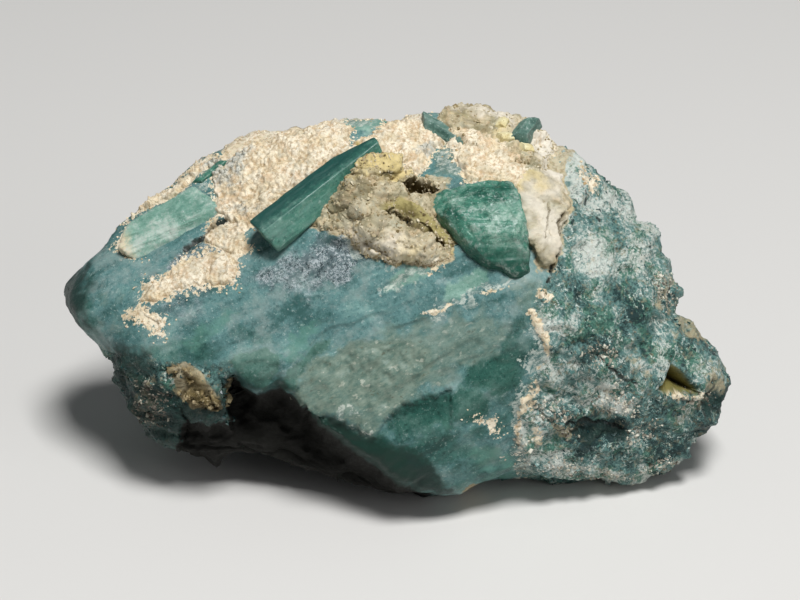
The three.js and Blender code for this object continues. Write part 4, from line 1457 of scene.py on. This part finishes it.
# %% Materials of the crystals
def crystal_material(name, colours, milk, milkiness, rim, roughness=0.34, glow=0.2, fade=None, flecks=0.7):
    """Clear streaked crystal under a glossy skin that lets some light in. Its edges are frosted, and with
    fade = (attribute, start, end, colour) it turns to that colour along the attribute."""
    material, tree, shader = new_material(name)
    lie = attribute(tree, "lie", "Vector")
    streaks = streaks_of(tree, lie, *colours, milk, milkiness, flecks)
    mottle = noise(tree, lie, 1.4, 4.0, 0.75)
    colour = streaks["Color"]
    if fade:
        along, start, end, last = fade
        edge = maths(tree, "ADD", attribute(tree, along), times(tree, centred(tree, mottle), 3))
        colour = mix_colour(tree, remap(tree, edge, start, end), colour, last)
    frosted = remap(tree, attribute(tree, "edge"), 0.80, 1.0)
    frosted = times(tree, frosted, remap(tree, mottle, 0.45, 0.66))
    colour = tinted(tree, colour, frosted, rim, FROST)
    rough = remap(tree, streaks["Roughness"], 0.28, 0.55, roughness, roughness + 0.25)
    look = {"Base Color": colour, "Roughness": rough, "Normal": bumped(tree, streaks["Height"], 0.4, 0.1)}
    settings = {"Specular IOR Level": 0.35, **lit_within(glow, (0.5, 1.0, 0.8), 1.0)}
    connect(tree, shader.inputs, {**look, **settings})
    return material


def crumb_material(name, crumb, pit, white):
    """Dry crumbs with nothing clear in them."""
    material, tree, shader = new_material(name)
    crust = crumbs_of(tree, attribute(tree, "lie", "Vector"), crumb, pit, white, 0.3)
    look = {"Base Color": crust["Color"], "Roughness": crust["Roughness"]}
    connect(tree, shader.inputs, {**look, "Normal": bumped(tree, crust["Height"], 0.5, 0.1)})
    return material


print("crystal materials ready")

# %% Greens of the crystals
BLADE_COLOURS = ((0.016, 0.080, 0.060), (0.054, 0.175, 0.132), (0.13, 0.28, 0.215))
BLOCK_COLOURS = ((0.010, 0.070, 0.048), (0.050, 0.185, 0.130), (0.17, 0.34, 0.26))
PALE_COLOURS = (PALE_DARK, PALE_GREEN, PALE_LIGHT)
DULL_COLOURS = ((0.035, 0.085, 0.068), (0.105, 0.195, 0.160), (0.24, 0.345, 0.295))
CHIP_COLOURS = ((0.60, 0.51, 0.26), (0.36, 0.25, 0.08), (0.72, 0.67, 0.42))
BLOCK_MILK = (0.38, 0.50, 0.42)
# Painted shade: the blade darkens along one side and the block towards its bottom.
to_shade = ("low", 0.3, -1.4, (0.014, 0.066, 0.056))
to_shade_below = ("low", 1.0, 4.6, (0.006, 0.068, 0.045))
to_cream = ("far", -3.6, -5.8, CREAM_CRUMB)
blade_green = crystal_material(
    "blade green", BLADE_COLOURS, MILK, 0.2, rim=0.05, roughness=0.3, fade=to_shade, flecks=0.35
)
block_green = crystal_material(
    "block green", BLOCK_COLOURS, BLOCK_MILK, 0.55, rim=0.35, roughness=0.32, glow=0.3, fade=to_shade_below
)
pale_green = crystal_material("pale green", PALE_COLOURS, FROST, 0.6, rim=0.3, fade=to_cream)
dull_green = crystal_material("dull green", DULL_COLOURS, MILK, 0.5, rim=0.3)
chip_yellow = crumb_material("chip yellow", *CHIP_COLOURS)
print("materials:", [material.name for material in bpy.data.materials])

# %% [markdown]
# The faces of the blade, the block and the pale blade were set one by one, as a cutter would: each row
# is the direction that a face looks in and its distance from the crystal's middle in mm.

# %% Make the large crystals
cut_crystal(
    "blade_crystal", (-8.4, 11.3), 1.0, (38.5, -18, 0),
    [
        ((0, 0.62, 0.78), 1.5), ((0, -0.45, 0.89), 1.4), ((0, -1, 0.1), 2.2), ((0, 1, -0.2), 2.0),
        ((0, 0, -1), 1.8), ((-0.97, -0.1, -0.25), 7.5), ((0.97, -0.2, 0.15), 7.9), ((0.2, 0.6, -0.5), 2.2),
    ],
    (8, 2.2, 1.6), blade_green, (130, 40, 30), 0.07, 0.08, 3,
)  # fmt: skip
cut_crystal(
    "block_crystal", (8.6, 7.6), 0.5, (0, 0, 20),
    [
        ((-0.27, 0.96, 0.1), 5.0), ((0.09, 1, 0.1), 5.2), ((0.79, 0.61, 0.1), 5.6), ((1, 0.02, 0.1), 4.65),
        ((0.97, 0.235, 0.1), 4.4), ((0.3, -0.95, 0.1), 5.8), ((-0.3, -0.95, 0.15), 3.9),
        ((-0.68, -0.73, 0.2), 2.95), ((-0.8, -0.6, 0.2), 3.1), ((-0.98, -0.2, 0.1), 4.9),
        ((-0.1, 0.45, 0.89), 2.5), ((0.05, 0.05, 1), 2.1), ((0.1, -0.5, 0.86), 2.7),
        ((-0.45, -0.35, 0.82), 2.6), ((-0.5, 0.25, 0.83), 3.2), ((0.6, -0.1, 0.8), 3.7),
        ((0, 0, -1), 3.5),
    ],
    (5.5, 5.5, 2.5), block_green, (110, 110, 40), 0.08, 0.28, 5,
)  # fmt: skip
cut_crystal(
    "pale_blade", (-24.6, 7.8), -0.1, (22, 4, 12),
    [
        ((-0.15, 0.98, 0.1), 2.5), ((-0.7, 0.7, 0.1), 4.1), ((-0.9, -0.5, 0.2), 5.2),
        ((0, -1, 0.25), 2.2), ((0.85, 0.5, 0.1), 5.0), ((0.8, -0.6, 0.1), 5.3),
        ((0, 0.25, 0.97), 1.0), ((0.05, -0.35, 0.94), 1.25), ((0, 0, -1), 2.5),
    ],
    (6, 2.4, 1.4), pale_green, (110, 44, 24), 0.16, 0.16, 11,
)  # fmt: skip

# %% Make the small crystals and chips: place, lift, axes, half sizes, material and wear of each
SMALL = [
    ("ridge_sliver", (5.1, 17.6), -0.25, (-36, -3, -15), (2.5, 0.9, 0.7), dull_green, 0.06),
    ("corner_crystal", (13.2, 17.9), 0.7, (64, 0, 20), (1.4, 0.9, 0.9), dull_green, 0.09),
    ("edge_crystal", (-20.3, 13.6), 0.1, (35, 0, 10), (1.4, 0.5, 0.5), block_green, 0.07),
    ("yellow_chip", (10.8, 18.6), 0.5, (70, 0, 0), (0.8, 0.6, 0.7), chip_yellow, 0.2),
    ("yellow_chip_low", (11.2, 17.2), 0.5, (10, 0, 0), (0.7, 0.5, 0.6), chip_yellow, 0.2),
    ("orange_chip", (13.5, 16.1), 0.4, (0, 0, 0), (0.6, 0.5, 0.5), chip_yellow, 0.2),
]  # fmt: skip
for order, (name, at, lift, axes, half, material, wear) in enumerate(SMALL):
    faces = bar_faces(*half, taper=0.8 if wear < 0.1 else 0.4)  # the worn chips have blunter ends
    cut_crystal(name, at, lift, axes, faces, half, material, (60, 28, 20), 0.03, wear, 20 + order, True)

# %% [markdown]
# ## Crumbs and grains
# The crust is a heap of loose crumbs and the lobe a mass of small blocky grains. Seen close, they need
# real shapes, with edges that cast shadows and break the outline. Thousands of them are cheap when each
# has only a few faces: all are turned, stretched and moved at once as one array, into one mesh.


# %% Scattered places on the skin
def spread_over(points, quads, share, count, seed):
    """Random places on a surface, likelier where the share is high: a quad is drawn by its area times
    its share, then a place in it. Gives the quads' corners and how much each corner counts."""
    draw = np.random.default_rng(seed)
    corner = points[quads]
    area = np.linalg.norm(np.cross(corner[:, 2] - corner[:, 0], corner[:, 3] - corner[:, 1]), axis=1)
    chance = area * share[quads].mean(1)
    quad = quads[draw.choice(len(chance), count, p=chance / chance.sum())]
    u, v = draw.random((2, count))
    weight = np.stack([(1 - u) * (1 - v), u * (1 - v), u * v, (1 - u) * v], 1)
    return quad, weight


def at_places(values, quad, weight):
    """A number or vector of a surface's points, blended at the scattered places."""
    weight = weight if values.ndim == 1 else weight[..., None]
    return (values[quad] * weight).sum(1)


def sunken(points, normals, quad, weight, depth):
    """Scattered places pushed into the skin by their own depths."""
    return at_places(points, quad, weight) - at_places(normals, quad, weight) * depth[:, None]


print("quads of the stone to scatter over:", len(stone_quads))


# %% Small shapes in one mesh
def twenty_faces():
    """An icosahedron: its 12 corners and the 20 triples of corners that lie 2 apart, facing outward. Each
    corner lies on one of three crossed rectangles whose sides are in the golden ratio."""
    golden = (1 + math.sqrt(5)) / 2
    base = [(0, a, b * golden) for a, b in itertools.product((-1, 1), repeat=2)]
    corners = np.array([np.roll(corner, turn) for corner in base for turn in range(3)])
    faces = []
    for trio in itertools.combinations(range(12), 3):
        a, b, c = corners[list(trio)]
        if max(np.linalg.norm(a - b), np.linalg.norm(b - c), np.linalg.norm(c - a)) < 2.1:
            faces.append(trio if np.dot(np.cross(b - a, c - a), a) > 0 else trio[::-1])
    return unit(corners), np.array(faces)


def small_shapes(name, shape, place, size, uneven, tone, material, seed):
    """One mesh of many copies of a shape. Each copy is place + (corners * jitter * stretch) @ turned *
    size, where jitter moves single corners, stretch the whole shape, and turned holds random axes."""
    corners, faces = shape
    count = len(place)
    draw = np.random.default_rng(seed)
    first, second = draw.normal(size=(2, count, 3))
    first = unit(first)
    third = unit(np.cross(first, second))
    turned = np.stack([first, np.cross(third, first), third], 1)
    jitter = 1 + uneven * draw.uniform(-1, 1, (count, len(corners), 1))
    stretch = 1 + uneven * draw.uniform(-1, 1, (count, 1, 3))
    own = np.einsum("nij,njk->nik", corners * jitter * stretch, turned) * size[:, None, None]
    points = (place[:, None] + own).reshape(-1, 3)
    rings = (faces + len(corners) * np.arange(count)[:, None, None]).reshape(-1, faces.shape[1])
    tones = {"tone": np.repeat(tone, len(corners))}
    return make_piece(name, points, rings, tones, grain_axes(points), material, smooth=False)


print("a crumb has", len(twenty_faces()[1]), "faces")


# %% Material of the small shapes
def toned_material(name, low, middle, high, roughness, strength=0.3):
    """Each small shape takes one tone between three colours, with a little noise of that strength."""
    material, tree, shader = new_material(name)
    mottle = centred(tree, noise(tree, attribute(tree, "lie", "Vector"), 3.0, 3.0, 0.7))
    tone = maths(tree, "ADD", attribute(tree, "tone"), times(tree, mottle, strength * 2))
    colour = mix_colour(tree, remap(tree, tone, 0.0, 0.5), low, middle)
    colour = mix_colour(tree, remap(tree, tone, 0.5, 1.0), colour, high)
    look = {"Base Color": colour, "Roughness": remap(tree, tone, 0.0, 1.0, *roughness)}
    connect(tree, shader.inputs, {**look, **lit_within(0.15, (0.6, 0.9, 0.7), 0.4)})
    return material


print("material of small shapes ready")

# %% [markdown]
# Crumbs lie where the crust is and just beside it, as they do when it sheds them, and more lie round the
# heap's foot. Their sizes follow a random number raised to a power: many small ones and few large ones.

# %% Crumbs on the crust and the heap
CRUMBS, SPECKLES, GRAINS = 2400, 2200, 8000
UNEVEN_CRUMB, UNEVEN_GRAIN = 0.45, 0.35
stone_normals = normals_of(stone_points, stone_quads)
draw = np.random.default_rng(2027)
dry = ease(laid["cream"], -1.2, -0.1)
quad, weight = spread_over(stone_points, stone_quads, dry * (1 - under_lip), CRUMBS, 5)
size = 0.05 + 0.12 * draw.random(CRUMBS) ** 2
tone = np.clip(draw.normal(0.55, 0.25, CRUMBS), 0, 1)
crumb_colours = toned_material("crust crumbs", CREAM_PIT, CREAM_CRUMB, CREAM_WHITE, (0.85, 0.7))
place = sunken(stone_points, stone_normals, quad, weight, 0.1 * size)
small_shapes("crust_crumbs", twenty_faces(), place, size, UNEVEN_CRUMB, tone, crumb_colours, 7)

HEAP_LIGHT = (0.68, 0.62, 0.46)
heap_colours = toned_material("heap crumbs", MATRIX_BROWN, MATRIX_TAN, HEAP_LIGHT, (0.85, 0.7), 0.4)
# Name, sheet, how many, how far they spread from its raised part and how light they may be.
HEAPS = (
    ("heap_crumbs", heap, 2400, 1.1, 0.85),
    ("peak_crumbs", peak, 700, 1.1, 1),
    # The foot's crumbs are kept dark as painted shade, since the foot lies in shadow.
    ("foot_crumbs", foot, 400, 2, 0.3),
)
for name, (points, quads, ramp), count, spread, lightness in HEAPS:
    quad, weight = spread_over(points, quads, ease(ramp, 0.3, 0.5) * (spread - ramp), count, 17)
    size = 0.06 + 0.16 * draw.random(count) ** 2.5
    place = sunken(points, normals_of(points, quads), quad, weight, 0.3 * size)
    tone = lightness * draw.random(count)
    small_shapes(name, twenty_faces(), place, size, UNEVEN_CRUMB, tone, heap_colours, 19)

# %% [markdown]
# Brown and pale specks of matrix cling to the lobe and the left foot in loose patches. They are real
# shapes too, because painted specks would not catch the light on one side.

# %% Specks on the lobe and the foot
# Middle and half sizes of each patch of specks.
SPECKS = [
    ((22.7, -10.7), (3, 2.3)), ((15.9, -11.5), (2.4, 1.8)), ((28, -18), (3.2, 1.2)),
    ((22.2, -19), (3.4, 1)), ((17.9, -17.6), (3, 1.4)), ((28.3, 1), (1.6, 2.6)),
    ((25.4, -14.3), (2.2, 1.8)), ((13, -16), (1.6, 3)), ((31.6, -10.6), (2.6, 1.2)),
    ((-26.5, -10.8), (2.4, 3.6)), ((21, -5.6), (2.2, 1.8)), ((17.3, -13.9), (2.4, 1)),
]  # fmt: skip
SPECK_COLOURS = ((0.07, 0.06, 0.045), (0.30, 0.28, 0.22), (0.62, 0.60, 0.50))
s_skin = smooth_body[:, 0] + cloud(smooth_body, 3, 193)
t_skin = smooth_body[:, 1] + cloud(smooth_body, 3, 197)
specked = np.max([ease(oval(s_skin, t_skin, at, half), 0, 0.5) for at, half in SPECKS], axis=0)
specked = specked * ease(smooth_body[:, 2], -3, 0) * (1 - under_lip) + 1e-4
quad, weight = spread_over(stone_points, stone_quads, specked, SPECKLES, 13)
size = 0.06 + 0.2 * draw.random(SPECKLES) ** 2.5
# Specks in the painted shade zones are painted darker as shade.
tone = draw.random(SPECKLES) - 0.5 * at_places(laid["shade"], quad, weight)
tone += 0.35 * at_places(laid["frost"], quad, weight)
tone = np.clip(tone, 0, 1)
speck_material = toned_material("specks", *SPECK_COLOURS, (0.7, 0.6), 0.5)
place = sunken(stone_points, stone_normals, quad, weight, 0.5 * size)
small_shapes("lobe_specks", twenty_faces(), place, size, UNEVEN_CRUMB, tone, speck_material, 15)

# %% [markdown]
# The lobe's grains are blocky, so they are uneven boxes sunk three quarters of their size into the skin.
# Frosted places get lighter grains, and in the painted shade zones the grains are painted darker as shade.

# %% Grains in the lobe
sugared = ease(laid["sugar"], -0.3, 0.6) * (1 - ease(laid["pit"], -0.3, 0.2)) * (1 - under_lip)
quad, weight = spread_over(stone_points, stone_quads, sugared, GRAINS, 9)
size = 0.12 + 0.34 * draw.random(GRAINS) ** 3
tone = draw.normal(0.40, 0.2, GRAINS)
# Frost lightens the grains; painted shade makes them darker where the lobe lies in shadow.
tone += 0.4 * at_places(laid["frost"], quad, weight) - 0.6 * at_places(laid["dusk"], quad, weight)
tone += 0.5 * cloud(at_places(smooth_body, quad, weight), 4, 131)
tone = np.clip(tone - 0.5 * at_places(laid["shade"], quad, weight), 0, 1)
grain_tones = toned_material("sugar grains", SUGAR_DARK, SUGAR_TEAL, FROST, (0.25, 0.6), 0.5)
place = sunken(stone_points, stone_normals, quad, weight, 0.75 * size)
small_shapes("sugar_grains", ball_grid((1, 1, 1)), place, size, UNEVEN_GRAIN, tone, grain_tones, 11)

# %% [markdown]
# ## Table, light and camera
# The stone lies on a plain pale table under one soft lamp, above and a little to the right, as a mineral
# is usually shown. A weak lamp from the right keeps the lobe readable. A bright sky would light it too,
# but it would leave no clear shadow, so the sky is kept faint.

# %% Floor
HALF_TABLE = 3.0  # metres
ends = (-HALF_TABLE, HALF_TABLE)
floor_mesh = bpy.data.meshes.new("table_top")
floor_mesh.from_pydata([(x, y, 0) for x in ends for y in ends], [], [(0, 2, 3, 1)])
floor = bpy.data.objects.new("table_top", floor_mesh)
bpy.context.scene.collection.objects.link(floor)
floor_material, tree, shader = new_material("pale table")
connect(tree, shader.inputs, {"Base Color": (0.62, 0.61, 0.59), "Roughness": 0.7})
floor_mesh.materials.append(floor_material)
print("table:", 2 * HALF_TABLE, "m wide")


# %% Lamps and surroundings
def aimed(name, data, place):
    """A lamp or camera at a place in metres, looking at the stone's middle."""
    holder = bpy.data.objects.new(name, data)
    holder.location = place
    aim = Vector(to_room(np.zeros(3))) - holder.location
    holder.rotation_euler = aim.to_track_quat("-Z", "Y").to_euler()
    bpy.context.scene.collection.objects.link(holder)
    return holder


def soft_lamp(name, place, power, size):
    """A square lamp, with its power in watts and its side in metres."""
    lamp = bpy.data.lights.new(name, "AREA")
    lamp.energy, lamp.size = power, size
    aimed(name, lamp, place)
    print(name, power, "W at", place)


soft_lamp("key_lamp", (0.09, -0.20, 0.61), 4.8, 0.17)
soft_lamp("fill_lamp", (0.50, -0.35, 0.30), 0.6, 0.30)
world = bpy.data.worlds.new("room")
world.use_nodes = True
background = world.node_tree.nodes["Background"].inputs
connect(world.node_tree, background, {"Color": (0.82, 0.86, 0.9), "Strength": 0.13})
bpy.context.scene.world = world
bpy.context.scene.view_settings.view_transform = "Standard"

# %% Camera
LENS, DISTANCE = 120.0, 288.7  # mm
camera = bpy.data.cameras.new("camera")
camera.lens = LENS
camera.clip_start = 0.01
bpy.context.scene.camera = aimed("camera", camera, to_room(np.array([0, 0, DISTANCE])))
print("camera", DISTANCE, "mm from the middle, straight in front of the broad face")
